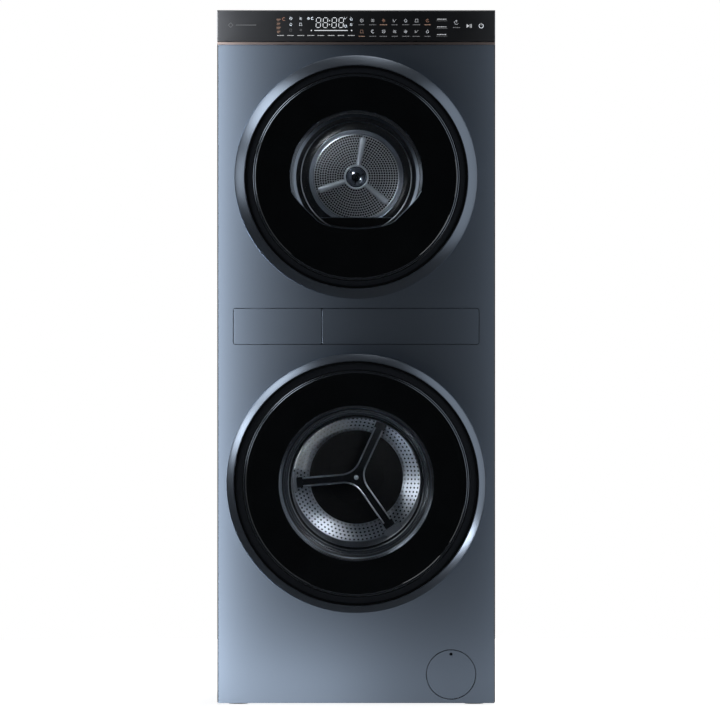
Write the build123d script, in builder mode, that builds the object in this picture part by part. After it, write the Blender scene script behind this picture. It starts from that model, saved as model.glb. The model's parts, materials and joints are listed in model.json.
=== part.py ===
from build123d import *
from dataclasses import dataclass
from math import cos, radians, sin, sqrt
import os

# Washer dryer stack. Millimetres, +Z up, +X to the right of a person facing the doors, doors face -Y.
# The origin is on the floor, below the middle of the cabinet.

# Cabinet
WIDTH = 600.0
HEIGHT = 1500.0
DEPTH = 660.0
DOOR_FRONT = -DEPTH / 2
FITTING_BACK = DEPTH / 2
FRONT = -285.0
BACK = 310.0
SHEET = 1.5
PANEL = 2.0
PANEL_BACK = FRONT + PANEL
PANEL_BOTTOM = 3.0
TRIM_BOTTOM = 1426.0
GLASS_BOTTOM = 1433.0
BASE = 8.0
SHELF = 766.0
HALF = WIDTH / 2

# Doors
HINGE_INSET = 10.5
HINGE_Y = -306.0
DOOR_BACK = -287.0
FRAME_BACK = -291.0
KNUCKLE_R = 5.0
PIN_R = 2.5
RUNNING = 0.06
KNUCKLE_HALF = 20.0
LUG = 16.0
AXIAL_GAP = 1.0


@dataclass
class Door:
    height: float
    outer: float
    inner: float
    window: float
    opening: float
    bowl_r: float
    bowl_back: float
    bowl_back_r: float

    @property
    def hinge_x(self):
        return HINGE_INSET - self.outer

    @property
    def hook_x(self):
        return self.opening + 40


UPPER = Door(1140, 262.5, 240.5, 144, 172, 131, -258, 126)
LOWER = Door(479, 280, 264, 168, 192, 163, -212, 148)

# Dryer
DRUM_R = 280.0
DRUM_FRONT = -222.0
MOUTH_R = 136.0
BULKHEAD = -229.0
REAR_WALL = 215.0
FILTER_TOP = 88.0
FILTER_LIP = 111.0
STAR_ARMS = (80, 200, 320)
ROLLER_R = 20.0
ROLLER_GAP = 0.3
ROLLER_X = (DRUM_R + ROLLER_R + ROLLER_GAP) * sin(radians(35))
ROLLER_Z = UPPER.height - (DRUM_R + ROLLER_R + ROLLER_GAP) * cos(radians(35))
MOTOR = (240.0, 900.0)
PULLEY_R = 12.0
BELT_GAP = 0.35
BELT = 2.0
FAN = (120.0, 900.0)
DRYER_SHAFT_R = 12.5

# Washer
TUB_R = 270.0
TUB_WALL = 4.0
WASH_R = 248.0
WASH_FRONT = -196.0
CROSS_ARMS = (65, 185, 305)
WASH_SHAFT_R = 17.5

# Drawers
BAND_BOTTOM = 779.0
BAND_TOP = 856.0
DRAWER_SIDE = 265.0
DRAWER_SPLIT = -74.0
DRAWER_GAP = 1.2
DRAWER_FACE = 14.0
DETERGENT_DEPTH = 215.0
DOSING_DEPTH = 235.0
TRAY_BOTTOM = 792.0
TRAY_TOP = 838.0

# Drain filter behind the round cover
COVER = (205.0, 65.0)
COVER_R = 52.8
COVER_HOLE_R = 54.3

# Rear fittings
INLET = (-200.0, 690.0)
DRAIN = (-200.0, 150.0)
GLAND = (-120.0, 150.0)


def turn(outline, height, x=0.0, mode=Mode.ADD):
    """Turn a closed (radius, y) outline about a front-to-back axis at this height."""
    with BuildSketch(Plane((x, 0, height))) as profile:
        with BuildLine():
            Polyline(*outline, close=True)
        make_face()
    revolve(profile.sketch, axis=Axis((x, 0, height), (0, 1, 0)), mode=mode)


def wall_outline(path, thickness):
    """The closed outline of a wall of this thickness on the left of a path, with mitred corners."""
    points = [Vector(*point) for point in path]
    normals = [(end - start).normalized().rotate(Axis.Z, 90) for start, end in zip(points, points[1:])]
    left = []
    for index, point in enumerate(points):
        before = normals[max(index - 1, 0)]
        after = normals[min(index, len(normals) - 1)]
        mitre = (before + after).normalized()
        left.append(point + mitre * (thickness / mitre.dot(before)))
    return [(point.X, point.Y) for point in points + left[::-1]]


def turn_sheet(path, thickness, height):
    """Turn a wall that follows a (radius, y) path and lies on the path's left."""
    turn(wall_outline(path, thickness), height)


def block(low, high, mode=Mode.ADD):
    """A box between two corners."""
    centre = tuple((a + b) / 2 for a, b in zip(low, high))
    with Locations(centre):
        Box(high[0] - low[0], high[1] - low[1], high[2] - low[2], mode=mode)


def rod(x, z, y_front, y_back, radius, mode=Mode.ADD):
    """A round bar or hole that runs front to back."""
    with Locations(Plane((x, (y_front + y_back) / 2, z), z_dir=(0, 1, 0))):
        Cylinder(radius, y_back - y_front, mode=mode)


def pipe(x, z, y_front, y_back, radius, bore):
    """A round tube that runs front to back."""
    rod(x, z, y_front, y_back, radius)
    rod(x, z, y_front, y_back, bore, mode=Mode.SUBTRACT)


def post(x, y, z_low, z_high, radius, mode=Mode.ADD):
    """An upright round bar or hole."""
    with Locations((x, y, (z_low + z_high) / 2)):
        Cylinder(radius, z_high - z_low, mode=mode)


def polar(radius, angle, height):
    """A point on a circle about a drum's axis, as x and z."""
    return radius * cos(radians(angle)), height + radius * sin(radians(angle))


# ---------------------------------------------------------------- cabinet
with BuildPart() as side_panels:
    block((HALF - SHEET, FRONT, 6), (HALF, BACK - SHEET, TRIM_BOTTOM + 5.5))
    block((HALF - 22, BACK - 2 * SHEET, 20), (HALF - SHEET, BACK - SHEET, TRIM_BOTTOM + 5.5))
    mirror(about=Plane.YZ)

with BuildPart() as front_panel:
    block((-HALF + 2, FRONT, PANEL_BOTTOM), (HALF - 2, PANEL_BACK, TRIM_BOTTOM - 0.8))
    for side in (-1, 1):
        block(
            (side * (HALF - 2.8) - 0.8, PANEL_BACK, PANEL_BOTTOM),
            (side * (HALF - 2.8) + 0.8, PANEL_BACK + 18, TRIM_BOTTOM - 0.8),
        )
    for door in (UPPER, LOWER):
        rod(0, door.height, FRONT - 5, PANEL_BACK + 5, door.opening, mode=Mode.SUBTRACT)
        for side in (-1, 1):
            lug_middle = door.height + side * (KNUCKLE_HALF + AXIAL_GAP + LUG / 2)
            block(
                (door.hinge_x - KNUCKLE_R - 1, FRONT - 5, lug_middle - LUG / 2 - 1),
                (door.hinge_x + KNUCKLE_R + 1, PANEL_BACK + 5, lug_middle + LUG / 2 + 1),
                mode=Mode.SUBTRACT,
            )
        block(
            (door.hook_x - 12, FRONT - 5, door.height - 10),
            (door.hook_x + 10, PANEL_BACK + 5, door.height + 10),
            mode=Mode.SUBTRACT,
        )
    with BuildSketch(Plane.XZ.offset(-FRONT + 5)) as band:
        with Locations((0, (BAND_BOTTOM + BAND_TOP) / 2)):
            RectangleRounded(2 * (DRAWER_SIDE + DRAWER_GAP), BAND_TOP - BAND_BOTTOM + 2 * DRAWER_GAP, 6)
    extrude(amount=-12, mode=Mode.SUBTRACT)
    rod(*COVER, FRONT - 5, PANEL_BACK + 5, COVER_HOLE_R, mode=Mode.SUBTRACT)

with BuildPart() as trim_strip:
    block((-HALF, FRONT - 2, TRIM_BOTTOM), (HALF, FRONT, TRIM_BOTTOM + 5.5))
    block((-HALF + 3, FRONT, TRIM_BOTTOM + 1), (HALF - 3, PANEL_BACK + 2, TRIM_BOTTOM + 4.5))
    fillet(trim_strip.edges().filter_by(Axis.X).group_by(Axis.Y)[0], 0.8)

with BuildPart() as control_glass:
    block((-HALF, FRONT - 3, GLASS_BOTTOM), (HALF, FRONT + 1, HEIGHT - 1.5))
    fillet(control_glass.edges().filter_by(Axis.Z), 1.2)
    chamfer(control_glass.faces().sort_by(Axis.Y)[0].edges(), 0.5)

with BuildPart() as control_housing:
    block((-HALF + 4, FRONT + 1, GLASS_BOTTOM + 2), (HALF - 4, -232, HEIGHT - 4))
    block((-HALF + 7, FRONT + 4, GLASS_BOTTOM + 5), (HALF - 7, -231, HEIGHT - 7), mode=Mode.SUBTRACT)
    block((-200, FRONT + 8, 1444), (280, FRONT + 10, 1488))
    for x in range(-180, 280, 46):
        block((x, FRONT + 10, 1456), (x + 22, FRONT + 16, 1474))

with BuildPart() as top_cover:
    block((-HALF, FRONT + 1, TRIM_BOTTOM + 6), (HALF, BACK, HEIGHT))
    block((-HALF + SHEET, FRONT - 5, 0), (HALF - SHEET, BACK - SHEET, HEIGHT - SHEET), mode=Mode.SUBTRACT)

with BuildPart() as rear_panel:
    block((-HALF + 1.6, BACK - SHEET, 14), (HALF - 1.6, BACK, 1431))
    rod(*INLET, BACK - 10, BACK + 10, 18, mode=Mode.SUBTRACT)
    rod(*DRAIN, BACK - 10, BACK + 10, 14, mode=Mode.SUBTRACT)
    rod(*GLAND, BACK - 10, BACK + 10, 8, mode=Mode.SUBTRACT)
    for x in (-180, 180):
        for z in (LOWER.height - 150, LOWER.height + 150):
            rod(x, z, BACK - 10, BACK + 10, 6, mode=Mode.SUBTRACT)
    for row in range(8):
        block((60, BACK - 10, 1180 + 18 * row), (220, BACK + 10, 1186 + 18 * row), mode=Mode.SUBTRACT)

with BuildPart() as base_frame:
    block((-HALF + 2, -262, BASE), (HALF - 2, 305, 44))
    block((-HALF + 4, -300, BASE + 2), (HALF - 4, 303, 60), mode=Mode.SUBTRACT)
    block((-HALF + 4, -262, BASE + 2), (130, -260, 44))
    for y in (-120, 120):
        block((-HALF + 4, y - 15, BASE + 2), (HALF - 4, y + 15, BASE + 14))
        block((-HALF + 4, y - 13, BASE + 2), (HALF - 4, y + 13, BASE + 12), mode=Mode.SUBTRACT)

with BuildPart() as levelling_feet:
    for x in (-255, 255):
        for y in (-235, 270):
            post(x, y, 0, 6, 22)
            post(x, y, 6, BASE, 14)
    chamfer(levelling_feet.edges().filter_by(GeomType.CIRCLE).group_by(Axis.Z)[0], 1.5)

with BuildPart() as mid_shelf:
    block((-HALF + 3, -262, SHELF), (HALF - 3, 305, SHELF + SHEET))
    for y in (-180, 150):
        block((-HALF + 3, y - 12, SHELF - 14), (HALF - 3, y + 12, SHELF))
        block((-HALF + 3, y - 10.5, SHELF - 14), (HALF - 3, y + 10.5, SHELF - 1.5), mode=Mode.SUBTRACT)


# ---------------------------------------------------------------- doors
def door_bezel(door):
    """The wide ring around the glass, cut away at its back over the hinge."""
    with BuildPart() as bezel:
        outline = (
            (door.inner, DOOR_FRONT + 1.0),
            (door.inner + 1.5, DOOR_FRONT),
            (door.inner + 4.0, DOOR_FRONT + 0.6),
            (door.outer - 2.0, DOOR_FRONT + 10.5),
            (door.outer, DOOR_FRONT + 14.5),
            (door.outer - 0.6, DOOR_FRONT + 19.0),
            (door.outer - 10.0, DOOR_BACK),
            (door.outer - 13.5, DOOR_BACK),
            (door.inner, DOOR_FRONT + 26.0),
        )
        turn(outline, door.height)
        reach = KNUCKLE_HALF + AXIAL_GAP + LUG + 5
        block(
            (-door.outer - 5, -316, door.height - reach),
            (-door.inner + 12, DOOR_BACK + 5, door.height + reach),
            mode=Mode.SUBTRACT,
        )
    return bezel


def door_glass(door):
    """The dished outer glass: a sloped rim and a flat middle."""
    flat = door.inner - 0.1 * door.inner
    with BuildPart() as glass:
        outline = (
            (0, -322),
            (flat, -322),
            (flat + 4, -323.5),
            (door.inner - 0.3, -327),
            (door.inner - 0.3, -323),
            (flat + 4.5, -319.6),
            (flat, -318),
            (0, -318),
        )
        turn(outline, door.height)
    return glass


def door_frame(door):
    """The channel ring behind the glass that carries the window, the hinge leaf and the hook."""
    inside = door.window + 4
    outside = door.inner - 7
    with BuildPart() as frame:
        outline = (
            (inside, -317.6),
            (inside + 3, -317.6),
            (inside + 3, FRAME_BACK - 3),
            (outside - 3, FRAME_BACK - 3),
            (outside - 3, -317.6),
            (outside, -317.6),
            (outside, FRAME_BACK),
            (inside, FRAME_BACK),
        )
        turn(outline, door.height)
        for angle in range(30, 360, 60):
            x, z = polar((inside + outside) / 2, angle, door.height)
            rod(x, z, -317.6, FRAME_BACK, 6)
    return frame


def window_bowl(door):
    """The pressed glass bowl: a flat rim, a stepped wall and a flat bottom."""
    with BuildPart() as bowl:
        path = (
            (0, door.bowl_back),
            (door.bowl_back_r - 6, door.bowl_back),
            (door.bowl_back_r, door.bowl_back - 6),
            (door.bowl_r, DOOR_BACK),
            (door.window + 16, DOOR_BACK),
        )
        turn_sheet(path, -4.0, door.height)
    return bowl


def hinge_and_hook(door):
    """The moving leaf, a knuckle on the pin, a cranked arm and a plate, and the hook across from it."""
    x = door.hinge_x
    plate = -door.inner + 50
    with BuildPart() as hardware:
        with BuildSketch(Plane.XY.offset(door.height - KNUCKLE_HALF)):
            with Locations((x, HINGE_Y)):
                Circle(KNUCKLE_R)
            with BuildLine():
                Polyline(
                    (x, HINGE_Y - 3),
                    (-door.inner + 5, HINGE_Y - 3),
                    (-door.inner + 5, FRAME_BACK),
                    (plate, FRAME_BACK),
                    (plate, FRAME_BACK + 3),
                    (-door.inner + 2, FRAME_BACK + 3),
                    (-door.inner + 2, HINGE_Y + 3),
                    (x, HINGE_Y + 3),
                    close=True,
                )
            make_face()
            with Locations((x, HINGE_Y)):
                Circle(PIN_R + RUNNING, mode=Mode.SUBTRACT)
        extrude(amount=2 * KNUCKLE_HALF)
        hook = door.hook_x
        block((hook - 10, FRAME_BACK, door.height - 18), (hook + 8, DOOR_BACK, door.height + 18))
        block((hook - 3, DOOR_BACK, door.height - 6), (hook + 3, -260, door.height + 6))
        block((hook - 9, -266, door.height - 6), (hook - 3, -260, door.height + 6))
    return hardware


upper_door_bezel = door_bezel(UPPER)
upper_door_glass = door_glass(UPPER)
upper_door_frame = door_frame(UPPER)
upper_window_bowl = window_bowl(UPPER)
upper_door_hardware = hinge_and_hook(UPPER)
lower_door_bezel = door_bezel(LOWER)
lower_door_glass = door_glass(LOWER)
lower_door_frame = door_frame(LOWER)
lower_window_bowl = window_bowl(LOWER)
lower_door_hardware = hinge_and_hook(LOWER)

with BuildPart() as door_hinge_brackets:
    for door in (UPPER, LOWER):
        x = door.hinge_x
        block((x - 20, PANEL_BACK, door.height - 55), (x + 30, PANEL_BACK + 3, door.height + 55))
        for side in (-1, 1):
            low = door.height + side * (KNUCKLE_HALF + AXIAL_GAP + LUG / 2) - LUG / 2
            block((x - KNUCKLE_R, HINGE_Y, low), (x + KNUCKLE_R, PANEL_BACK, low + LUG))
            post(x, HINGE_Y, low, low + LUG, KNUCKLE_R)
        pin_half = KNUCKLE_HALF + AXIAL_GAP + LUG
        post(x, HINGE_Y, door.height - pin_half, door.height + pin_half, PIN_R)

with BuildPart() as door_locks:
    for door in (UPPER, LOWER):
        x = door.hook_x
        z = door.height
        block((x - 18, PANEL_BACK, z - 32), (x + 16, -244, z + 32))
        block((x - 13, PANEL_BACK - 5, z - 11), (x + 11, -254, z + 11), mode=Mode.SUBTRACT)


# ---------------------------------------------------------------- dryer
with BuildPart() as dryer_bulkhead:
    z = UPPER.height
    block((-HALF + 4, BULKHEAD, z - 281), (HALF - 4, BULKHEAD + 3, z + 284))
    neck = (
        (MOUTH_R, PANEL_BACK),
        (UPPER.opening + 12, PANEL_BACK),
        (UPPER.opening + 12, PANEL_BACK + 2.5),
        (MOUTH_R + 3, PANEL_BACK + 2.5),
        (MOUTH_R + 3, BULKHEAD),
        (MOUTH_R, BULKHEAD),
    )
    turn(neck, z)
    block((-93, -257, z - 246), (93, BULKHEAD, z - 122))
    block((-89, -254, z - 243), (89, BULKHEAD - 3, z - 100), mode=Mode.SUBTRACT)
    rod(0, z, PANEL_BACK - 5, BULKHEAD + 5, MOUTH_R, mode=Mode.SUBTRACT)
    for side in (-1, 1):
        rod(side * ROLLER_X, ROLLER_Z, BULKHEAD + 3, -200, 5)
        rod(side * ROLLER_X, ROLLER_Z, BULKHEAD + 3, -221, 9)

with BuildPart() as dryer_felt_seal:
    pipe(0, UPPER.height, BULKHEAD + 3, DRUM_FRONT - 0.5, 279, 262)

with BuildPart() as lint_filter:
    z = UPPER.height
    half = sqrt((MOUTH_R - 3) ** 2 - FILTER_TOP ** 2)
    with BuildSketch(Plane.XZ.offset(234)):
        with BuildLine():
            Polyline((-half, z - FILTER_TOP - 3), (-half, z - FILTER_TOP), (half, z - FILTER_TOP))
            Line((half, z - FILTER_TOP), (half, z - FILTER_TOP - 3))
            ThreePointArc((half, z - FILTER_TOP - 3), (0, z - FILTER_LIP), (-half, z - FILTER_TOP - 3))
        make_face()
    extrude(amount=20)
    block((-85, -250, z - 238), (85, -236, z - 100))
    block((-70, -247, z - 226), (70, -239, z - 86), mode=Mode.SUBTRACT)

with BuildPart() as dryer_drum:
    wall = (
        (255, DRUM_FRONT),
        (DRUM_R, DRUM_FRONT),
        (DRUM_R, 186),
        (150, 186),
        (122, 203),
        (103, 203),
        (95, 196),
        (0, 196),
    )
    turn_sheet(wall, SHEET, UPPER.height)
    rod(0, UPPER.height, 150, 220, DRYER_SHAFT_R, mode=Mode.SUBTRACT)

with BuildPart() as dryer_lifters:
    with BuildSketch(Plane.XZ.offset(200)):
        with Locations((0, UPPER.height)):
            with PolarLocations(DRUM_R - SHEET - 22, 3, start_angle=20):
                Trapezoid(62, 46, 74, rotation=90)
    extrude(amount=-360)
    with BuildSketch(Plane.XZ.offset(210)):
        with Locations((0, UPPER.height)):
            Circle(DRUM_R + 60)
            Circle(DRUM_R - SHEET, mode=Mode.SUBTRACT)
    extrude(amount=-400, mode=Mode.SUBTRACT)

with BuildPart() as dryer_star:
    z = UPPER.height
    with BuildSketch(Plane.XZ.offset(-187)):
        with Locations((0, z)):
            Circle(28)
        for angle in STAR_ARMS:
            with Locations(Location((*polar(56, angle, z), 0), (0, 0, angle))):
                Trapezoid(15, 64, 86.5, rotation=90)
            with Locations(polar(86, angle, z)):
                Circle(7.5)
    extrude(amount=-7.5)
    turn(((0, 176), (12, 177.5), (19, 181), (23, 187), (28, 187), (28, 194.5), (0, 194.5)), z)
    rod(0, z, 194.5, 242, DRYER_SHAFT_R)

with BuildPart() as dryer_rear_plate:
    z = UPPER.height
    block((-HALF + 4, REAR_WALL, z - 283), (HALF - 4, REAR_WALL + 2, z + 284))
    rod(0, z, REAR_WALL - 5, REAR_WALL + 5, 92, mode=Mode.SUBTRACT)
    rod(0, z, REAR_WALL - 4, REAR_WALL + 24, 32)
    for angle in range(0, 180, 60):
        with Locations(Plane((0, REAR_WALL + 1, z), z_dir=(0, 1, 0))):
            Box(190, 10, 2, rotation=(0, 0, angle))
    rod(0, z, REAR_WALL - 10, REAR_WALL + 30, 22, mode=Mode.SUBTRACT)

with BuildPart() as air_duct:
    for grow, start, mode in ((0, 0, Mode.ADD), (-2.5, -2.5, Mode.SUBTRACT)):
        with BuildSketch(Plane.XZ.offset(-REAR_WALL - 2)):
            with Locations((0, UPPER.height)):
                Circle(128 + grow)
            with Locations(FAN):
                Circle(86 + grow)
            make_hull()
        extrude(amount=-(62 + start), mode=mode)
    rod(*FAN, REAR_WALL + 50, REAR_WALL + 70, 8, mode=Mode.SUBTRACT)

with BuildPart() as fan_wheel:
    x, z = FAN
    rod(x, z, 262, 264, 68)
    pipe(x, z, 226, 228, 68, 46)
    with BuildSketch(Plane.XZ.offset(-227)):
        with Locations((x, z)):
            with PolarLocations(60, 24):
                Rectangle(14, 2, rotation=35)
    extrude(amount=-36)
    rod(x, z, 246, 262, 12)
    rod(x, z, 262, 296, 4)

with BuildPart() as dryer_motors:
    x, z = MOTOR
    rod(x, z, 42, 180, 40)
    rod(x, z, 30, 42, 16)
    for y in (60, 160):
        block((x - 30, y, SHELF + SHEET), (x + 30, y + 4, z - 30))
    rod(x, z, 20, 82, 6 + RUNNING, mode=Mode.SUBTRACT)
    rod(*FAN, REAR_WALL + 64, 304, 34)
    rod(*FAN, REAR_WALL + 60, 298, 4 + RUNNING, mode=Mode.SUBTRACT)

with BuildPart() as motor_pulley:
    x, z = MOTOR
    rod(x, z, 0, 80, 6)
    rod(x, z, 3, 5, PULLEY_R + 4)
    rod(x, z, 5, 22, PULLEY_R)
    rod(x, z, 22, 24, PULLEY_R + 4)

with BuildPart() as drive_belt:
    for gap, mode in ((BELT_GAP + BELT, Mode.ADD), (BELT_GAP, Mode.SUBTRACT)):
        with BuildSketch(Plane.XZ.offset(-7)):
            with Locations((0, UPPER.height)):
                Circle(DRUM_R + gap)
            with Locations(MOTOR):
                Circle(PULLEY_R + gap)
            make_hull()
        extrude(amount=-13, mode=mode)


def drum_roller(side):
    """A roller under the front edge of the drum."""
    with BuildPart() as roller:
        pipe(side * ROLLER_X, ROLLER_Z, -220, -206, ROLLER_R, 5 + RUNNING)
    return roller


drum_roller_left = drum_roller(-1)
drum_roller_right = drum_roller(1)

with BuildPart() as heat_exchangers:
    for first in (20, 115):
        for fin in range(16):
            y = first + 5 * fin
            block((-110, y, SHELF + 6), (110, y + 1.5, SHELF + 80))
        for x in (-70, 70):
            for z in (SHELF + 25, SHELF + 60):
                rod(x, z, first - 4, first + 82, 5)
    for x in (-100, 92):
        block((x, 20, SHELF + SHEET), (x + 8, 196, SHELF + 6))

with BuildPart() as compressor:
    post(-235, 130, SHELF + 12, SHELF + 150, 46)
    fillet(compressor.edges().filter_by(GeomType.CIRCLE), 14)
    post(-235, 130, SHELF + SHEET, SHELF + 14, 30)
    for x in (-280, -190):
        post(x, 130, SHELF + SHEET, SHELF + 10, 9)
    block((-289, 118, SHELF + 8), (-181, 142, SHELF + 12))

# ---------------------------------------------------------------- washer
SPOUT = (40.0, -170.0)
SPRING_X = 252.0
SPRING_Y = (-60.0, 90.0)


def spring_lugs(y):
    """The two lugs on the tub that its hanging springs hook into."""
    for side in (-1, 1):
        block((side * 236 - 28, y - 9, 630), (side * 236 + 28, y + 9, 640))


with BuildPart() as tub_front:
    wall = ((186, -232), (186, -214), (TUB_R - TUB_WALL, -214), (TUB_R - TUB_WALL, 0))
    turn_sheet(wall, -TUB_WALL, LOWER.height)
    pipe(0, LOWER.height, -10, 0, TUB_R + 7, TUB_R - 1)
    spring_lugs(SPRING_Y[0])
    post(*SPOUT, LOWER.height - TUB_R - 28, LOWER.height - TUB_R + 12, 17)
    post(*SPOUT, LOWER.height - TUB_R - 30, LOWER.height - TUB_R + 30, 14, mode=Mode.SUBTRACT)
    rod(0, LOWER.height, -214, 0, TUB_R - TUB_WALL, mode=Mode.SUBTRACT)

with BuildPart() as tub_rear:
    wall = ((TUB_R - TUB_WALL, 0), (TUB_R - TUB_WALL, 203), (31, 203), (31, 240))
    turn_sheet(wall, -TUB_WALL, LOWER.height)
    pipe(0, LOWER.height, 0, 10, TUB_R + 7, TUB_R - 1)
    spring_lugs(SPRING_Y[1])
    rod(0, LOWER.height, 0, 203, TUB_R - TUB_WALL, mode=Mode.SUBTRACT)

with BuildPart() as drum_bearings:
    for y in (204, 224):
        pipe(0, LOWER.height, y, y + 12, 31, WASH_SHAFT_R + RUNNING)
    pipe(0, UPPER.height, REAR_WALL - 2, REAR_WALL + 22, 22, DRYER_SHAFT_R + RUNNING)

with BuildPart() as washer_drum:
    wall = (
        (178, WASH_FRONT - 8),
        (184, WASH_FRONT - 8),
        (186, WASH_FRONT),
        (WASH_R, WASH_FRONT),
        (WASH_R, 152),
        (141, 152),
        (103, 181),
        (0, 181),
    )
    turn_sheet(wall, SHEET, LOWER.height)

with BuildPart() as drum_lifters:
    with BuildSketch(Plane.XZ.offset(170)):
        with Locations((0, LOWER.height)):
            with PolarLocations(WASH_R - SHEET - 24, 3, start_angle=CROSS_ARMS[0]):
                Trapezoid(72, 52, 76, rotation=90)
    extrude(amount=-310)
    with BuildSketch(Plane.XZ.offset(180)):
        with Locations((0, LOWER.height)):
            Circle(WASH_R + 60)
            Circle(WASH_R - SHEET, mode=Mode.SUBTRACT)
    extrude(amount=-350, mode=Mode.SUBTRACT)

with BuildPart() as rear_cross:
    z = LOWER.height
    with BuildSketch(Plane.XZ.offset(-142)):
        with Locations((0, z)):
            Circle(30)
        for angle in CROSS_ARMS:
            with Locations(Location((*polar(84, angle, z), 0), (0, 0, angle))):
                Rectangle(120, 22)
            with Locations(Location((*polar(141, angle, z), 0), (0, 0, angle))):
                Trapezoid(46, 16, 70, rotation=90)
    extrude(amount=-8)

with BuildPart() as drum_spider:
    z = LOWER.height
    with BuildSketch(Plane.XZ.offset(-182)):
        with Locations((0, z)):
            Circle(52)
        for angle in CROSS_ARMS:
            with Locations(Location((*polar(140, angle, z), 0), (0, 0, angle))):
                Trapezoid(70, 200, 84.3, rotation=-90)
    extrude(amount=-14)
    rod(0, z, 196, 278, WASH_SHAFT_R)
    for angle in CROSS_ARMS:
        x, arm_z = polar(226, angle, z)
        rod(x, arm_z, 154, 184, 12)

with BuildPart() as motor_rotor:
    outline = (
        (WASH_SHAFT_R, 266),
        (24, 266),
        (24, 272),
        (128, 272),
        (128, 246),
        (133, 246),
        (133, 276),
        (WASH_SHAFT_R, 276),
    )
    turn(outline, LOWER.height)

with BuildPart() as motor_stator:
    pipe(0, LOWER.height, 245, 262, 92, 64)
    with BuildSketch(Plane.XZ.offset(-246)):
        with Locations((0, LOWER.height)):
            with PolarLocations(106, 36):
                Rectangle(30, 8)
    extrude(amount=-15)
    for angle in range(0, 360, 60):
        x, z = polar(74, angle, LOWER.height)
        rod(x, z, 207, 246, 8)

with BuildPart() as door_gasket:
    wall = (
        (LOWER.opening + 12, PANEL_BACK),
        (176, PANEL_BACK),
        (176, -262),
        (206, -254),
        (206, -242),
        (190, -236),
        (190, -220),
    )
    turn_sheet(wall, -2.5, LOWER.height)

with BuildPart() as counterweights:
    z = LOWER.height
    for low, high in ((20, 160), (200, 340)):
        with BuildSketch(Plane.XZ.offset(258)):
            with BuildLine():
                CenterArc((0, z), 262, low, high - low)
                Line(polar(262, high, z), polar(212, high, z))
                CenterArc((0, z), 212, low, high - low)
                Line(polar(212, low, z), polar(262, low, z))
            make_face()
        extrude(amount=-40)

DAMPER_FOOT = (232.0, 60.0)
DAMPER_TOP = (168.0, 262.0)

with BuildPart() as tub_suspension:
    for side in (-1, 1):
        for y in SPRING_Y:
            post(side * SPRING_X, y, 640, 748, 9)
            post(side * SPRING_X, y, 640, 748, 5.5, mode=Mode.SUBTRACT)
            post(side * SPRING_X, y, 738, SHELF, 6)
        lean = (side * (DAMPER_TOP[0] - DAMPER_FOOT[0]), 0, DAMPER_TOP[1] - DAMPER_FOOT[1])
        for y in (-40, 80):
            with Locations(Plane((side * DAMPER_FOOT[0], y, DAMPER_FOOT[1]), z_dir=lean)):
                Cylinder(11, 110, align=(Align.CENTER, Align.CENTER, Align.MIN))
                Cylinder(5, 210, align=(Align.CENTER, Align.CENTER, Align.MIN))
            block((side * 232 - 14, y - 12, BASE + 2), (side * 232 + 14, y + 12, DAMPER_FOOT[1] + 12))

with BuildPart() as water_heater:
    for x in (-24, 24):
        rod(x, LOWER.height - 254, -120, 150, 4)
    with Locations((0, 152, LOWER.height - 254)):
        Box(60, 8, 10)

with BuildPart() as drain_pump:
    x, z = COVER
    pipe(x, z, -268, -232, COVER_R + 1, COVER_R - 1.5)
    rod(x, z, -235, -150, 34)
    pipe(x, z, -235, -232, COVER_R + 1, 30)
    rod(x, z, -150, -80, 24)
    block((x - 28, -190, BASE + 2), (x + 28, -142, z - 20))
    rod(x, z, -290, -170, 27, mode=Mode.SUBTRACT)
    hose_top = LOWER.height - TUB_R - 28
    with BuildLine(Plane.XZ.offset(-SPOUT[1])) as route:
        FilletPolyline((SPOUT[0], hose_top), (SPOUT[0], z), (x - 33, z), radius=40)
    with BuildSketch(Plane((*SPOUT, hose_top), z_dir=(0, 0, -1))):
        Circle(17)
        Circle(14, mode=Mode.SUBTRACT)
    sweep(path=route.line)

with BuildPart() as drain_filter:
    x, z = COVER
    rod(x, z, -250, -235, 29)
    block((x - 24, -262, z - 4), (x + 24, -249, z + 4))
    rod(x, z, -236, -226, 26.5)
    pipe(x, z, -226, -176, 24, 20)
    fillet(drain_filter.faces().sort_by(Axis.Y)[0].edges(), 1.5)

with BuildPart() as filter_cover:
    x, z = COVER
    rod(x, z, FRONT, FRONT + 3, COVER_R)
    chamfer(filter_cover.faces().sort_by(Axis.Y)[0].edges(), 0.6)
    pipe(x, z, FRONT + 3, FRONT + 20, COVER_R - 4, COVER_R - 6)
    for side in (-1, 1):
        middle = x + side * 24
        block((middle - 5, FRONT + 5, z - 60), (middle + 5, FRONT + 25, z + 60), mode=Mode.SUBTRACT)
    rod(x, z + 44, FRONT - 1, FRONT + 5, 3.2, mode=Mode.SUBTRACT)

with BuildPart() as rear_fittings:
    x, z = INLET
    rod(x, z, 270, BACK, 15)
    rod(x, z, BACK, FITTING_BACK, 13.2)
    block((x - 20, 250, z - 16), (x + 20, 272, z + 16))
    rod(x, z, 300, FITTING_BACK + 2, 9, mode=Mode.SUBTRACT)
    x, z = DRAIN
    pipe(x, z, 280, BACK + 6, 13.5, 8.5)
    pipe(x, z, 300, FITTING_BACK, 10.7, 8.5)
    x, z = GLAND
    pipe(x, z, 296, FITTING_BACK - 4, 7.5, 4.2)
    pipe(x, z, BACK, BACK + 4, 12, 4.2)

# ---------------------------------------------------------------- drawers
BAYS = ((-DRAWER_SIDE, DRAWER_SPLIT), (DRAWER_SPLIT, DRAWER_SIDE))

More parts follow.
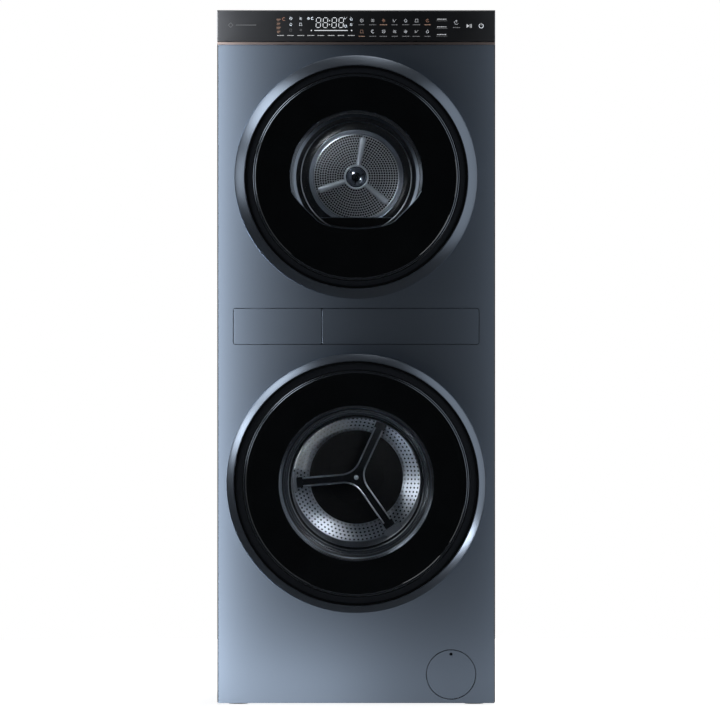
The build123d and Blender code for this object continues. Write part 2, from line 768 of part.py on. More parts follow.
with BuildPart() as drawer_housing:
    low = BAND_BOTTOM - 3
    high = BAND_TOP + 2.5
    block((-DRAWER_SIDE - 4, -270, low), (DRAWER_SIDE + 4, -18, high))
    for left, right in BAYS:
        block((left + 3, -275, TRAY_BOTTOM - 4), (right - 3, -22, TRAY_TOP + 8), mode=Mode.SUBTRACT)
    block((-DRAWER_SIDE + 6, -40, low - 8), (DRAWER_SIDE - 6, -36, low))


def drawer_tray(left, right, depth, walls):
    """An open tray with a front, cross walls and a sloped floor drain."""
    back = FRONT + depth
    with BuildPart() as tray:
        block((left + 5, FRONT + DRAWER_FACE, TRAY_BOTTOM), (right - 5, back, TRAY_TOP))
        edges = [FRONT + DRAWER_FACE, *walls, back]
        for start, end in zip(edges[:-1], edges[1:]):
            low, high = (left + 8, start + 3, TRAY_BOTTOM + 3), (right - 8, end - 3, TRAY_TOP + 5)
            block(low, high, mode=Mode.SUBTRACT)
    return tray


def drawer_front(left, right):
    """A flush drawer front with a rounded outline."""
    with BuildPart() as front:
        with BuildSketch(Plane.XZ.offset(-FRONT)):
            with Locations(((left + right) / 2, (BAND_BOTTOM + BAND_TOP) / 2)):
                RectangleRounded(right - left - DRAWER_GAP, BAND_TOP - BAND_BOTTOM, 4)
        extrude(amount=-DRAWER_FACE)
        chamfer(front.faces().sort_by(Axis.Y)[0].edges(), 0.6)
    return front


detergent_tray = drawer_tray(*BAYS[0], DETERGENT_DEPTH, (-180,))
detergent_front = drawer_front(*BAYS[0])
dosing_tray = drawer_tray(*BAYS[1], DOSING_DEPTH, (-150,))
dosing_front = drawer_front(*BAYS[1])

os.makedirs("parts", exist_ok=True)

air_duct.part.label = "air_duct"
export_step(air_duct.part, "parts/air_duct.step")
base_frame.part.label = "base_frame"
export_step(base_frame.part, "parts/base_frame.step")
compressor.part.label = "compressor"
export_step(compressor.part, "parts/compressor.step")
control_glass.part.label = "control_glass"
export_step(control_glass.part, "parts/control_glass.step")
control_housing.part.label = "control_housing"
export_step(control_housing.part, "parts/control_housing.step")
counterweights.part.label = "counterweights"
export_step(counterweights.part, "parts/counterweights.step")
detergent_front.part.label = "detergent_front"
export_step(detergent_front.part, "parts/detergent_front.step")
detergent_tray.part.label = "detergent_tray"
export_step(detergent_tray.part, "parts/detergent_tray.step")
door_gasket.part.label = "door_gasket"
export_step(door_gasket.part, "parts/door_gasket.step")
door_hinge_brackets.part.label = "door_hinge_brackets"
export_step(door_hinge_brackets.part, "parts/door_hinge_brackets.step")
door_locks.part.label = "door_locks"
export_step(door_locks.part, "parts/door_locks.step")
dosing_front.part.label = "dosing_front"
export_step(dosing_front.part, "parts/dosing_front.step")
dosing_tray.part.label = "dosing_tray"
export_step(dosing_tray.part, "parts/dosing_tray.step")
drain_filter.part.label = "drain_filter"
export_step(drain_filter.part, "parts/drain_filter.step")
drain_pump.part.label = "drain_pump"
export_step(drain_pump.part, "parts/drain_pump.step")
drawer_housing.part.label = "drawer_housing"
export_step(drawer_housing.part, "parts/drawer_housing.step")
drive_belt.part.label = "drive_belt"
export_step(drive_belt.part, "parts/drive_belt.step")
drum_bearings.part.label = "drum_bearings"
export_step(drum_bearings.part, "parts/drum_bearings.step")
drum_lifters.part.label = "drum_lifters"
export_step(drum_lifters.part, "parts/drum_lifters.step")
drum_roller_left.part.label = "drum_roller_left"
export_step(drum_roller_left.part, "parts/drum_roller_left.step")
drum_roller_right.part.label = "drum_roller_right"
export_step(drum_roller_right.part, "parts/drum_roller_right.step")
drum_spider.part.label = "drum_spider"
export_step(drum_spider.part, "parts/drum_spider.step")
dryer_bulkhead.part.label = "dryer_bulkhead"
export_step(dryer_bulkhead.part, "parts/dryer_bulkhead.step")
dryer_drum.part.label = "dryer_drum"
export_step(dryer_drum.part, "parts/dryer_drum.step")
dryer_felt_seal.part.label = "dryer_felt_seal"
export_step(dryer_felt_seal.part, "parts/dryer_felt_seal.step")
dryer_lifters.part.label = "dryer_lifters"
export_step(dryer_lifters.part, "parts/dryer_lifters.step")
dryer_motors.part.label = "dryer_motors"
export_step(dryer_motors.part, "parts/dryer_motors.step")
dryer_rear_plate.part.label = "dryer_rear_plate"
export_step(dryer_rear_plate.part, "parts/dryer_rear_plate.step")
dryer_star.part.label = "dryer_star"
export_step(dryer_star.part, "parts/dryer_star.step")
fan_wheel.part.label = "fan_wheel"
export_step(fan_wheel.part, "parts/fan_wheel.step")
filter_cover.part.label = "filter_cover"
export_step(filter_cover.part, "parts/filter_cover.step")
front_panel.part.label = "front_panel"
export_step(front_panel.part, "parts/front_panel.step")
heat_exchangers.part.label = "heat_exchangers"
export_step(heat_exchangers.part, "parts/heat_exchangers.step")
levelling_feet.part.label = "levelling_feet"
export_step(levelling_feet.part, "parts/levelling_feet.step")
lint_filter.part.label = "lint_filter"
export_step(lint_filter.part, "parts/lint_filter.step")
lower_door_bezel.part.label = "lower_door_bezel"
export_step(lower_door_bezel.part, "parts/lower_door_bezel.step")
lower_door_frame.part.label = "lower_door_frame"
export_step(lower_door_frame.part, "parts/lower_door_frame.step")
lower_door_glass.part.label = "lower_door_glass"
export_step(lower_door_glass.part, "parts/lower_door_glass.step")
lower_door_hardware.part.label = "lower_door_hardware"
export_step(lower_door_hardware.part, "parts/lower_door_hardware.step")
lower_window_bowl.part.label = "lower_window_bowl"
export_step(lower_window_bowl.part, "parts/lower_window_bowl.step")
mid_shelf.part.label = "mid_shelf"
export_step(mid_shelf.part, "parts/mid_shelf.step")
motor_pulley.part.label = "motor_pulley"
export_step(motor_pulley.part, "parts/motor_pulley.step")
motor_rotor.part.label = "motor_rotor"
export_step(motor_rotor.part, "parts/motor_rotor.step")
motor_stator.part.label = "motor_stator"
export_step(motor_stator.part, "parts/motor_stator.step")
rear_cross.part.label = "rear_cross"
export_step(rear_cross.part, "parts/rear_cross.step")
rear_fittings.part.label = "rear_fittings"
export_step(rear_fittings.part, "parts/rear_fittings.step")
rear_panel.part.label = "rear_panel"
export_step(rear_panel.part, "parts/rear_panel.step")
side_panels.part.label = "side_panels"
export_step(side_panels.part, "parts/side_panels.step")
top_cover.part.label = "top_cover"
export_step(top_cover.part, "parts/top_cover.step")
trim_strip.part.label = "trim_strip"
export_step(trim_strip.part, "parts/trim_strip.step")
tub_front.part.label = "tub_front"
export_step(tub_front.part, "parts/tub_front.step")
tub_rear.part.label = "tub_rear"
export_step(tub_rear.part, "parts/tub_rear.step")
tub_suspension.part.label = "tub_suspension"
export_step(tub_suspension.part, "parts/tub_suspension.step")
upper_door_bezel.part.label = "upper_door_bezel"
export_step(upper_door_bezel.part, "parts/upper_door_bezel.step")
upper_door_frame.part.label = "upper_door_frame"
export_step(upper_door_frame.part, "parts/upper_door_frame.step")
upper_door_glass.part.label = "upper_door_glass"
export_step(upper_door_glass.part, "parts/upper_door_glass.step")
upper_door_hardware.part.label = "upper_door_hardware"
export_step(upper_door_hardware.part, "parts/upper_door_hardware.step")
upper_window_bowl.part.label = "upper_window_bowl"
export_step(upper_window_bowl.part, "parts/upper_window_bowl.step")
washer_drum.part.label = "washer_drum"
export_step(washer_drum.part, "parts/washer_drum.step")
water_heater.part.label = "water_heater"
export_step(water_heater.part, "parts/water_heater.step")
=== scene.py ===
"""The looks of the washer dryer stack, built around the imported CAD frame. Metres, +Z up, doors face -Y."""

import json
import math

import bmesh
import bpy
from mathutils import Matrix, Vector

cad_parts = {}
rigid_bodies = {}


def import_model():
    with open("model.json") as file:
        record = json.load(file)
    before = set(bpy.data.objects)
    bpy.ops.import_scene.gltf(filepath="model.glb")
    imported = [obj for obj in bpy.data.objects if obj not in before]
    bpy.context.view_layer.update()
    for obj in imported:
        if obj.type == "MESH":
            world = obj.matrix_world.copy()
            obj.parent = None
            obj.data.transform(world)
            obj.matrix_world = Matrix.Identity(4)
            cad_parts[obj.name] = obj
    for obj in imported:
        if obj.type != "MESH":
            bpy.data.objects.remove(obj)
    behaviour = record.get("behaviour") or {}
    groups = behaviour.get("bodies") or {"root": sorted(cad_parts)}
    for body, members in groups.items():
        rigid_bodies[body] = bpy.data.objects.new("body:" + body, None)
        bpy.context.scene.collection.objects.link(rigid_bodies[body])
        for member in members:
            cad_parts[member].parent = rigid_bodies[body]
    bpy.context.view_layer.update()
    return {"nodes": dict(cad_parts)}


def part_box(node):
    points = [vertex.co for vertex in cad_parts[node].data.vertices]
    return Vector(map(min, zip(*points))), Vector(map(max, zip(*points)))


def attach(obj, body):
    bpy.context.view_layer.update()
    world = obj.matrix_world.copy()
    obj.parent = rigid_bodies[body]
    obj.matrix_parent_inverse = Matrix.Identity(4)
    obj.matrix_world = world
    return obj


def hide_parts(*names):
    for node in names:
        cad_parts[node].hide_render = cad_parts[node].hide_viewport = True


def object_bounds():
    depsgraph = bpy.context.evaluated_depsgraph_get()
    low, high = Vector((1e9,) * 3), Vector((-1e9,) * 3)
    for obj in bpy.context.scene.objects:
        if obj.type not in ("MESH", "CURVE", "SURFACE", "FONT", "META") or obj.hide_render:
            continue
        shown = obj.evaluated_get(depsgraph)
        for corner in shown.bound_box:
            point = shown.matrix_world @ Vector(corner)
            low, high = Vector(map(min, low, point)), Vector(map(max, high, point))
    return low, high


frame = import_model()
MM = 0.001
TAU = 2 * math.pi

# ---------------------------------------------------------------- places, from the frame
BODY_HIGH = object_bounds()[1]
GLASS_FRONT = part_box("control_glass")[0][1]
PANEL_LOW, PANEL_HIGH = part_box("front_panel")
FRONT = PANEL_LOW[1]


class Door:
    """The places of one door, read from its CAD nodes, and the radius of its clear window."""

    def __init__(self, name, window):
        self.name = name
        self.window = window
        self.body = f"{name}_door"
        low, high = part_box(f"{name}_door_bezel")
        self.outer = high[0]
        self.height = (low[2] + high[2]) / 2
        self.front = low[1]
        self.back = high[1]
        low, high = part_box(f"{name}_door_glass")
        self.inner = high[0]
        self.glass_front = low[1]
        self.glass_back = high[1]
        low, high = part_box(f"{name}_window_bowl")
        self.bowl_rim = high[0]
        self.bowl_front = low[1]
        self.bowl_back = high[1]


UPPER = Door("upper", 144 * MM)
LOWER = Door("lower", 168 * MM)


# ---------------------------------------------------------------- materials
def material(name, color, metallic=0.0, roughness=0.5, **extra):
    """A principled material and its nodes, with the constant values set on the shader's own sockets."""
    mat = bpy.data.materials.new(name)
    mat.use_nodes = True
    nodes, links = mat.node_tree.nodes, mat.node_tree.links
    shader = nodes["Principled BSDF"]
    shader.inputs["Base Color"].default_value = (*color, 1)
    shader.inputs["Metallic"].default_value = metallic
    shader.inputs["Roughness"].default_value = roughness
    for socket, value in extra.items():
        shader.inputs[socket.replace("_", " ")].default_value = value
    return mat, nodes, links, shader


def add_noise(nodes, links, scale, detail=4.0, stretch=(1, 1, 1)):
    """A noise texture in object space, stretched along an axis for brushed or drawn surfaces."""
    place = nodes.new("ShaderNodeTexCoord")
    mapping = nodes.new("ShaderNodeMapping")
    mapping.inputs["Scale"].default_value = stretch
    noise = nodes.new("ShaderNodeTexNoise")
    noise.inputs["Scale"].default_value = scale
    noise.inputs["Detail"].default_value = detail
    links.new(place.outputs["Object"], mapping.inputs["Vector"])
    links.new(mapping.outputs["Vector"], noise.inputs["Vector"])
    return noise


def vary_color(nodes, links, shader, noise, dark, light):
    """Let the noise move the base colour between two shades."""
    ramp = nodes.new("ShaderNodeValToRGB")
    ramp.color_ramp.elements[0].position = 0.3
    ramp.color_ramp.elements[1].position = 0.7
    ramp.color_ramp.elements[0].color = (*dark, 1)
    ramp.color_ramp.elements[1].color = (*light, 1)
    links.new(noise.outputs["Fac"], ramp.inputs["Fac"])
    links.new(ramp.outputs["Color"], shader.inputs["Base Color"])


def vary_roughness(nodes, links, shader, noise, low, high):
    """Let the noise move the roughness between two values."""
    spread = nodes.new("ShaderNodeMapRange")
    spread.inputs["To Min"].default_value = low
    spread.inputs["To Max"].default_value = high
    links.new(noise.outputs["Fac"], spread.inputs["Value"])
    links.new(spread.outputs["Result"], shader.inputs["Roughness"])


def add_bump(nodes, links, shader, noise, strength, distance):
    """A bump from the noise."""
    bump = nodes.new("ShaderNodeBump")
    bump.inputs["Strength"].default_value = strength
    bump.inputs["Distance"].default_value = distance
    links.new(noise.outputs["Fac"], bump.inputs["Height"])
    links.new(bump.outputs["Normal"], shader.inputs["Normal"])


def surface(name, color, metallic, roughness, scale, spread=0.12, bump=0.1, stretch=(1, 1, 1), **extra):
    """A material with fine colour, roughness and height variation at the given scale."""
    mat, nodes, links, shader = material(name, color, metallic, roughness, **extra)
    noise = add_noise(nodes, links, scale, stretch=stretch)
    dark = tuple(max(0.0, c * (1 - spread)) for c in color)
    light = tuple(min(1.0, c * (1 + spread)) for c in color)
    vary_color(nodes, links, shader, noise, dark, light)
    vary_roughness(nodes, links, shader, noise, roughness * 0.9, min(1.0, roughness * 1.12))
    if bump:
        add_bump(nodes, links, shader, noise, bump, 0.0002)
    return mat


PAINT = surface("panel_paint", (0.235, 0.275, 0.335), 0.92, 0.55, 2600, spread=0.08, bump=0.03)
BEZEL = surface("bezel_metal", (0.26, 0.30, 0.36), 0.95, 0.30, 2600, spread=0.06, bump=0.02)
ZINC = surface("zinc_steel", (0.55, 0.57, 0.59), 0.9, 0.42, 55, spread=0.16, bump=0.06)
COPPER = surface("copper_trim", (0.84, 0.66, 0.60), 1.0, 0.42, 900, spread=0.05, bump=0.02,
                 stretch=(0.02, 1, 1))
BLACK_GLASS = surface("black_glass", (0.0025, 0.003, 0.0035), 0.0, 0.06, 12, spread=0.2, bump=0.0)
CONTROL_GLASS = surface("control_glass", (0.12, 0.12, 0.125), 1.0, 0.50, 12, spread=0.05, bump=0.0)
CHARCOAL = surface("charcoal_rim", (0.06, 0.068, 0.082), 0.9, 0.42, 900, spread=0.1, bump=0.03)
DARK_PLASTIC = surface("dark_plastic", (0.012, 0.0125, 0.014), 0.0, 0.38, 1600, spread=0.2, bump=0.15)
GREY_PLASTIC = surface("grey_plastic", (0.085, 0.09, 0.10), 0.0, 0.5, 1400, spread=0.1, bump=0.15)
BLOCK_GREY = surface("block_grey", (0.16, 0.175, 0.20), 0.0, 0.42, 900, spread=0.1, bump=0.1)
TUB_PLASTIC = surface("tub_plastic", (0.42, 0.43, 0.44), 0.0, 0.5, 1200, spread=0.07, bump=0.12)
DRUM_STEEL = surface("drum_steel", (0.58, 0.62, 0.68), 1.0, 0.26, 240, spread=0.08, bump=0.04,
                     stretch=(1, 0.04, 1))
CAST = surface("cast_aluminium", (0.36, 0.38, 0.41), 0.9, 0.42, 900, spread=0.12, bump=0.25)
FINS = surface("fin_aluminium", (0.70, 0.71, 0.73), 1.0, 0.35, 300, spread=0.08, bump=0.05)
STEEL = surface("bearing_steel", (0.52, 0.53, 0.55), 1.0, 0.24, 400, spread=0.08, bump=0.03)
BLACK_PAINT = surface("compressor_paint", (0.012, 0.012, 0.013), 0.1, 0.35, 500, spread=0.2, bump=0.1)
WINDING = surface("copper_winding", (0.55, 0.22, 0.10), 0.9, 0.35, 700, spread=0.25, bump=0.4,
                  stretch=(1, 8, 1))
RUBBER = surface("rubber", (0.02, 0.02, 0.021), 0.0, 0.7, 700, spread=0.2, bump=0.15)
GASKET = surface("gasket_rubber", (0.060, 0.063, 0.068), 0.0, 0.55, 600, spread=0.12, bump=0.12)
FELT = surface("felt", (0.45, 0.44, 0.41), 0.0, 0.95, 1500, spread=0.25, bump=0.8)
CONCRETE = surface("concrete", (0.36, 0.35, 0.33), 0.0, 0.9, 120, spread=0.25, bump=0.6)
SATIN_BLACK = surface("satin_black", (0.010, 0.0115, 0.014), 0.3, 0.30, 900, spread=0.15, bump=0.05)
RING_METAL = surface("ring_metal", (0.20, 0.225, 0.26), 0.9, 0.22, 800, spread=0.08, bump=0.02)
DEEP_BLACK = surface("deep_black", (0.0015, 0.0016, 0.0018), 0.0, 0.9, 500, spread=0.2, bump=0.0)
BAND_METAL = surface("band_metal", (0.34, 0.39, 0.46), 1.0, 0.34, 800, spread=0.06, bump=0.02)
STAR_CAST = surface("star_cast", (0.50, 0.54, 0.60), 0.45, 0.45, 900, spread=0.08, bump=0.1)
CONE_STEEL = surface("cone_steel", (0.62, 0.66, 0.72), 1.0, 0.30, 400, spread=0.05, bump=0.0)
BRIGHT_EDGE = surface("bright_edge", (0.66, 0.71, 0.78), 1.0, 0.30, 500, spread=0.06, bump=0.02)
SMOKE = surface("smoked_wall", (0.045, 0.054, 0.066), 0.2, 0.32, 300, spread=0.1, bump=0.0)
BACK_STEEL = surface("back_steel", (0.62, 0.66, 0.72), 1.0, 0.36, 400, spread=0.06, bump=0.03)
DARK_CHROME = surface("dark_chrome", (0.30, 0.33, 0.38), 1.0, 0.16, 500, spread=0.08, bump=0.02)


def glass_material():
    """Clear glass that shows what lies behind it and keeps a light gloss."""
    mat, nodes, links, shader = material("clear_glass", (0.01, 0.012, 0.015), 0.0, 0.03, Alpha=0.035)
    noise = add_noise(nodes, links, 8)
    vary_roughness(nodes, links, shader, noise, 0.02, 0.05)
    mat.surface_render_method = "DITHERED"
    return mat


def glow_material(name, color, strength):
    """A printed or lit mark: pale ink that glows a little, as painted light where the ink is only printed."""
    mat, nodes, links, shader = material(name, color, 0.0, 0.5)
    shader.inputs["Emission Color"].default_value = (*color, 1)
    shader.inputs["Emission Strength"].default_value = strength
    noise = add_noise(nodes, links, 900)
    vary_roughness(nodes, links, shader, noise, 0.4, 0.6)
    return mat


CLEAR = glass_material()
LIT = glow_material("lit_digit", (0.88, 0.92, 0.96), 0.75)
# The printed inks below glow as painted light; only the lit digits shine with a light of their own.
INK_WITH_PAINTED_GLOW = glow_material("white_ink_painted_glow", (0.78, 0.80, 0.83), 0.55)
DIM_INK_WITH_PAINTED_GLOW = glow_material("grey_ink_painted_glow", (0.45, 0.46, 0.48), 0.22)
WARM_INK_WITH_PAINTED_GLOW = glow_material("copper_ink_painted_glow", (0.62, 0.40, 0.30), 0.40)

NODE_MATERIALS = {
    "side_panels": PAINT, "front_panel": PAINT, "top_cover": PAINT, "rear_panel": ZINC, "base_frame": ZINC,
    "mid_shelf": ZINC, "trim_strip": COPPER, "control_glass": CONTROL_GLASS, "control_housing": DARK_PLASTIC,
    "levelling_feet": RUBBER, "upper_door_frame": DARK_PLASTIC, "lower_door_frame": DARK_PLASTIC,
    "upper_door_hardware": ZINC, "lower_door_hardware": ZINC, "door_hinge_brackets": ZINC,
    "door_locks": DARK_PLASTIC, "dryer_bulkhead": SATIN_BLACK, "dryer_felt_seal": FELT,
    "lint_filter": DARK_PLASTIC, "dryer_drum": DRUM_STEEL, "dryer_lifters": GREY_PLASTIC, "dryer_star": CAST,
    "dryer_rear_plate": ZINC, "drum_bearings": STEEL, "air_duct": GREY_PLASTIC, "fan_wheel": GREY_PLASTIC,
    "dryer_motors": CAST, "motor_pulley": STEEL, "drive_belt": RUBBER, "drum_roller_left": RUBBER,
    "drum_roller_right": RUBBER, "heat_exchangers": FINS, "compressor": BLACK_PAINT, "tub_front": TUB_PLASTIC,
    "tub_rear": TUB_PLASTIC, "washer_drum": DRUM_STEEL, "drum_lifters": DARK_PLASTIC, "rear_cross": CAST,
    "drum_spider": CAST, "motor_rotor": ZINC, "motor_stator": WINDING, "door_gasket": GASKET,
    "counterweights": CONCRETE, "tub_suspension": ZINC, "water_heater": STEEL, "drain_pump": GREY_PLASTIC,
    "drain_filter": DARK_PLASTIC, "filter_cover": PAINT, "rear_fittings": GREY_PLASTIC,
    "drawer_housing": GREY_PLASTIC, "detergent_tray": TUB_PLASTIC, "detergent_front": PAINT,
    "dosing_tray": TUB_PLASTIC, "dosing_front": PAINT, "upper_door_bezel": BEZEL, "lower_door_bezel": BEZEL,
    "upper_door_glass": BLACK_GLASS, "lower_door_glass": BLACK_GLASS, "upper_window_bowl": CLEAR,
    "lower_window_bowl": CLEAR,
}
for node, finish in NODE_MATERIALS.items():
    part = frame["nodes"][node]
    part.data.materials.clear()
    part.data.materials.append(finish)


# ---------------------------------------------------------------- mesh helpers
def make(name, bm, body, *finishes, smooth_deg=35, slot=None, replaces=()):
    """Turn a bmesh into a piece that rides on a body."""
    mesh = bpy.data.meshes.new(name)
    bmesh.ops.recalc_face_normals(bm, faces=bm.faces)
    bm.to_mesh(mesh)
    bm.free()
    for finish in finishes:
        mesh.materials.append(finish)
    mesh.shade_smooth()
    mesh.set_sharp_from_angle(angle=math.radians(smooth_deg))
    piece = bpy.data.objects.new(name, mesh)
    bpy.context.scene.collection.objects.link(piece)
    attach(piece, body)
    if replaces:
        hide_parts(*replaces)
    return piece


def lathe(bm, outline, height, segments=192, x=0.0, start=0.0, sweep=TAU, closed=True, finishes=None):
    """Turn an outline of (radius, y) points about a front-to-back axis. finishes has one entry per span."""
    full = abs(sweep - TAU) < 1e-9
    steps = segments if full else segments + 1
    rings = []
    for step in range(steps):
        angle = start + sweep * step / segments
        ring = []
        for radius, y in outline:
            ring.append(bm.verts.new((x + radius * math.cos(angle), y, height + radius * math.sin(angle))))
        rings.append(ring)
    count = len(outline)
    spans = count if closed else count - 1
    for step in range(segments):
        a, b = rings[step], rings[(step + 1) % steps]
        for i in range(spans):
            j = (i + 1) % count
            face = bm.faces.new((a[i], a[j], b[j], b[i]))
            if finishes:
                face.material_index = finishes[i]
    if not full and closed:
        bm.faces.new(rings[0])
        bm.faces.new(rings[-1])
    bmesh.ops.remove_doubles(bm, verts=bm.verts, dist=1e-7)


def slab(bm, low, high, bevel=0.0):
    """A box between two corners, with an optional bevel."""
    made = bmesh.ops.create_cube(bm, size=1.0)
    size = [b - a for a, b in zip(low, high)]
    centre = [(a + b) / 2 for a, b in zip(low, high)]
    bmesh.ops.scale(bm, vec=size, verts=made["verts"])
    bmesh.ops.translate(bm, vec=centre, verts=made["verts"])
    if bevel:
        edges = list({edge for vert in made["verts"] for edge in vert.link_edges})
        bmesh.ops.bevel(bm, geom=edges, offset=bevel, segments=2, affect="EDGES", profile=0.5)


def prism(bm, points, y_front, y_back, finish=0):
    """Extrude an outline of (x, z) points from front to back."""
    front = [bm.verts.new((x, y_front, z)) for x, z in points]
    back = [bm.verts.new((x, y_back, z)) for x, z in points]
    faces = [bm.faces.new(front), bm.faces.new(back[::-1])]
    count = len(points)
    for i in range(count):
        j = (i + 1) % count
        faces.append(bm.faces.new((front[i], back[i], back[j], front[j])))
    for face in faces:
        face.material_index = finish


def mm_points(points):
    """Scale points given in millimetres to metres."""
    return [(a * MM, b * MM) for a, b in points]


def perforated(bm, place, along, pitch, hole, finish=0):
    """Cover a turned surface with square tiles that each have one round hole, ring by ring.

    place(u, angle) gives the surface point; along is the list of ring centres u with their radii.
    """
    for u, radius in along:
        count = max(6, round(TAU * radius / pitch))
        wide = math.pi / count
        for index in range(count):
            middle = TAU * (index + 0.5) / count
            rim, edge = [], []
            for corner in range(8):
                turn_angle = TAU * corner / 8
                across, up = math.cos(turn_angle), math.sin(turn_angle)
                reach = max(abs(across), abs(up))
                rim.append(bm.verts.new(place(u + hole * up, middle + hole * across / radius)))
                edge.append(bm.verts.new(place(u + pitch / 2 * up / reach, middle + wide * across / reach)))
            for corner in range(8):
                after = (corner + 1) % 8
                face = bm.faces.new((edge[corner], edge[after], rim[after], rim[corner]))
                face.material_index = finish


def torus(bm, height, y, radius, thick, segments=160):
    """A thin round ring about a front-to-back axis."""
    section = []
    for step in range(10):
        angle = TAU * step / 10
        section.append((radius + thick * math.cos(angle), y + thick * math.sin(angle)))
    lathe(bm, section, height, segments)


def tube(bm, path, y, radius, finish=0):
    """A round bead along a path of (x, z) points."""
    rows = []
    for index, point in enumerate(path):
        before, after = path[max(index - 1, 0)], path[min(index + 1, len(path) - 1)]
        run = Vector((after[0] - before[0], after[1] - before[1])).normalized()
        side = Vector((-run.y, run.x))
        row = []
        for step in range(8):
            angle = TAU * step / 8
            across, deep = radius * math.cos(angle), radius * math.sin(angle)
            row.append(bm.verts.new((point[0] + side.x * across, y + deep, point[1] + side.y * across)))
        rows.append(row)
    for a, b in zip(rows, rows[1:]):
        for i in range(8):
            bm.faces.new((a[i], a[(i + 1) % 8], b[(i + 1) % 8], b[i])).material_index = finish
    bm.faces.new(rows[0]).material_index = finish
    bm.faces.new(rows[-1][::-1]).material_index = finish


# ---------------------------------------------------------------- doors
def door_ring(door):
    """The wide bezel: a bevelled face all the way round, and a shell behind it, open over the hinge."""
    f, inner, outer = door.front, door.inner + 0.3 * MM, door.outer
    cut = f + 13.6 * MM
    rise = 0.6  # depth gained for each unit of width, the same on both doors
    face_end = f + 0.5 * MM + (outer - inner - 4.8 * MM) * rise
    slope = [
        (inner, f + 1.0 * MM),
        (inner + 0.5 * MM, f + 0.2 * MM),
        (inner + 1.4 * MM, f),
        (inner + 2.4 * MM, f + 0.5 * MM),
        (outer - 2.4 * MM, face_end),
        (outer - 1.0 * MM, face_end + 1.1 * MM),
        (outer - 0.3 * MM, face_end + 2.2 * MM),
        (outer, cut),
    ]
    bm = bmesh.new()
    lathe(bm, slope + [(inner, cut)], door.height, 256)
    shell = [
        (outer, cut),
        (outer, f + 15.5 * MM),
        (outer - 0.8 * MM, f + 19 * MM),
        (outer - 3 * MM, f + 26 * MM),
        (outer - 10 * MM, door.back),
        (outer - 13.5 * MM, door.back),
        (inner, f + 26 * MM),
        (inner, cut),
    ]
    gap = math.radians(10.6)
    lathe(bm, shell, door.height, 240, start=math.pi + gap, sweep=TAU - 2 * gap)
    node = f"{door.name}_door_bezel"
    make(f"{door.name}_bezel_ring", bm, door.body, BEZEL, slot="bezel_metal", replaces=[node], smooth_deg=16)


def door_pane(door):
    """The dished pane: a clear window, a black printed middle and a charcoal rim with two ridge lines."""
    flat = door.inner * 0.9
    f, b, w = door.glass_front + 5 * MM, door.glass_back, door.window
    rim = door.inner
    black, clear, charcoal, line = 0, 1, 2, 3
    # each row is a point and the finish of the span that ends there
    spans = [
        (0, f, clear),
        (w, f, clear),
        (flat, f, black),
        (flat + 1.3 * MM, f - 0.9 * MM, black),
        (flat + 2.5 * MM, f - 0.2 * MM, line),
        (flat + 4.8 * MM, f - 0.5 * MM, charcoal),
        (flat + 5.1 * MM, f - 1.4 * MM, black),
        (flat + 6.3 * MM, f - 0.7 * MM, line),
        (flat + 8 * MM, f - 0.8 * MM, black),
        (flat + 8.6 * MM, f - 2.0 * MM, black),
        (rim - 4.6 * MM, f - 1.1 * MM, charcoal),
        (rim - 4.2 * MM, f - 4.5 * MM, black),
        (rim - 0.4 * MM, f - 4.9 * MM, black),
        (rim, f - 4.5 * MM, black),
        (rim, f - 1 * MM, black),
        (flat + 4.5 * MM, b - 1.6 * MM, black),
        (flat, b, black),
        (w, b, black),
        (0, b, clear),
    ]
    outline = [(radius, y) for radius, y, _ in spans]
    finishes = [finish for _, _, finish in spans[1:]]
    bm = bmesh.new()
    lathe(bm, outline, door.height, 256, closed=False, finishes=finishes)
    node = f"{door.name}_door_glass"
    make(f"{door.name}_door_pane", bm, door.body, BLACK_GLASS, CLEAR, CHARCOAL, RING_METAL,
         slot="door_glass", replaces=[node], smooth_deg=22)


# the order of the finishes given to window_trim's and window_bowl's pieces
CHROME, DARK, BAND, LINE = range(4)
GLASSY, DARK_WALL, SMOKY, STEP_LINE = range(4)


def window_trim(door, steps):
    """The funnel behind the pane: steps of (radius, depth, finish) in millimetres, down to the bowl."""
    w, y = door.window, door.glass_back
    front = [
        (w + 3 * MM, y + 0.4 * MM),
        (w + 1.4 * MM, y + 0.2 * MM),
        (w + 0.2 * MM, y + 0.6 * MM),
        (w - 0.6 * MM, y + 1.6 * MM),
    ]
    finishes = [CHROME] * 3
    for radius, depth, finish in steps:
        front.append((radius * MM, y + depth * MM))
        finishes.append(finish)
    behind = [(radius + 1.6 * MM, depth + 0.6 * MM) for radius, depth in front[:0:-1]]
    outline = front + behind
    finishes += [DARK] * (len(outline) - len(finishes))
    bm = bmesh.new()
    lathe(bm, outline, door.height, 224, finishes=finishes)
    make(f"{door.name}_window_trim", bm, door.body, DARK_CHROME, SATIN_BLACK, BAND_METAL, RING_METAL,
         slot="dark_plastic", smooth_deg=20)


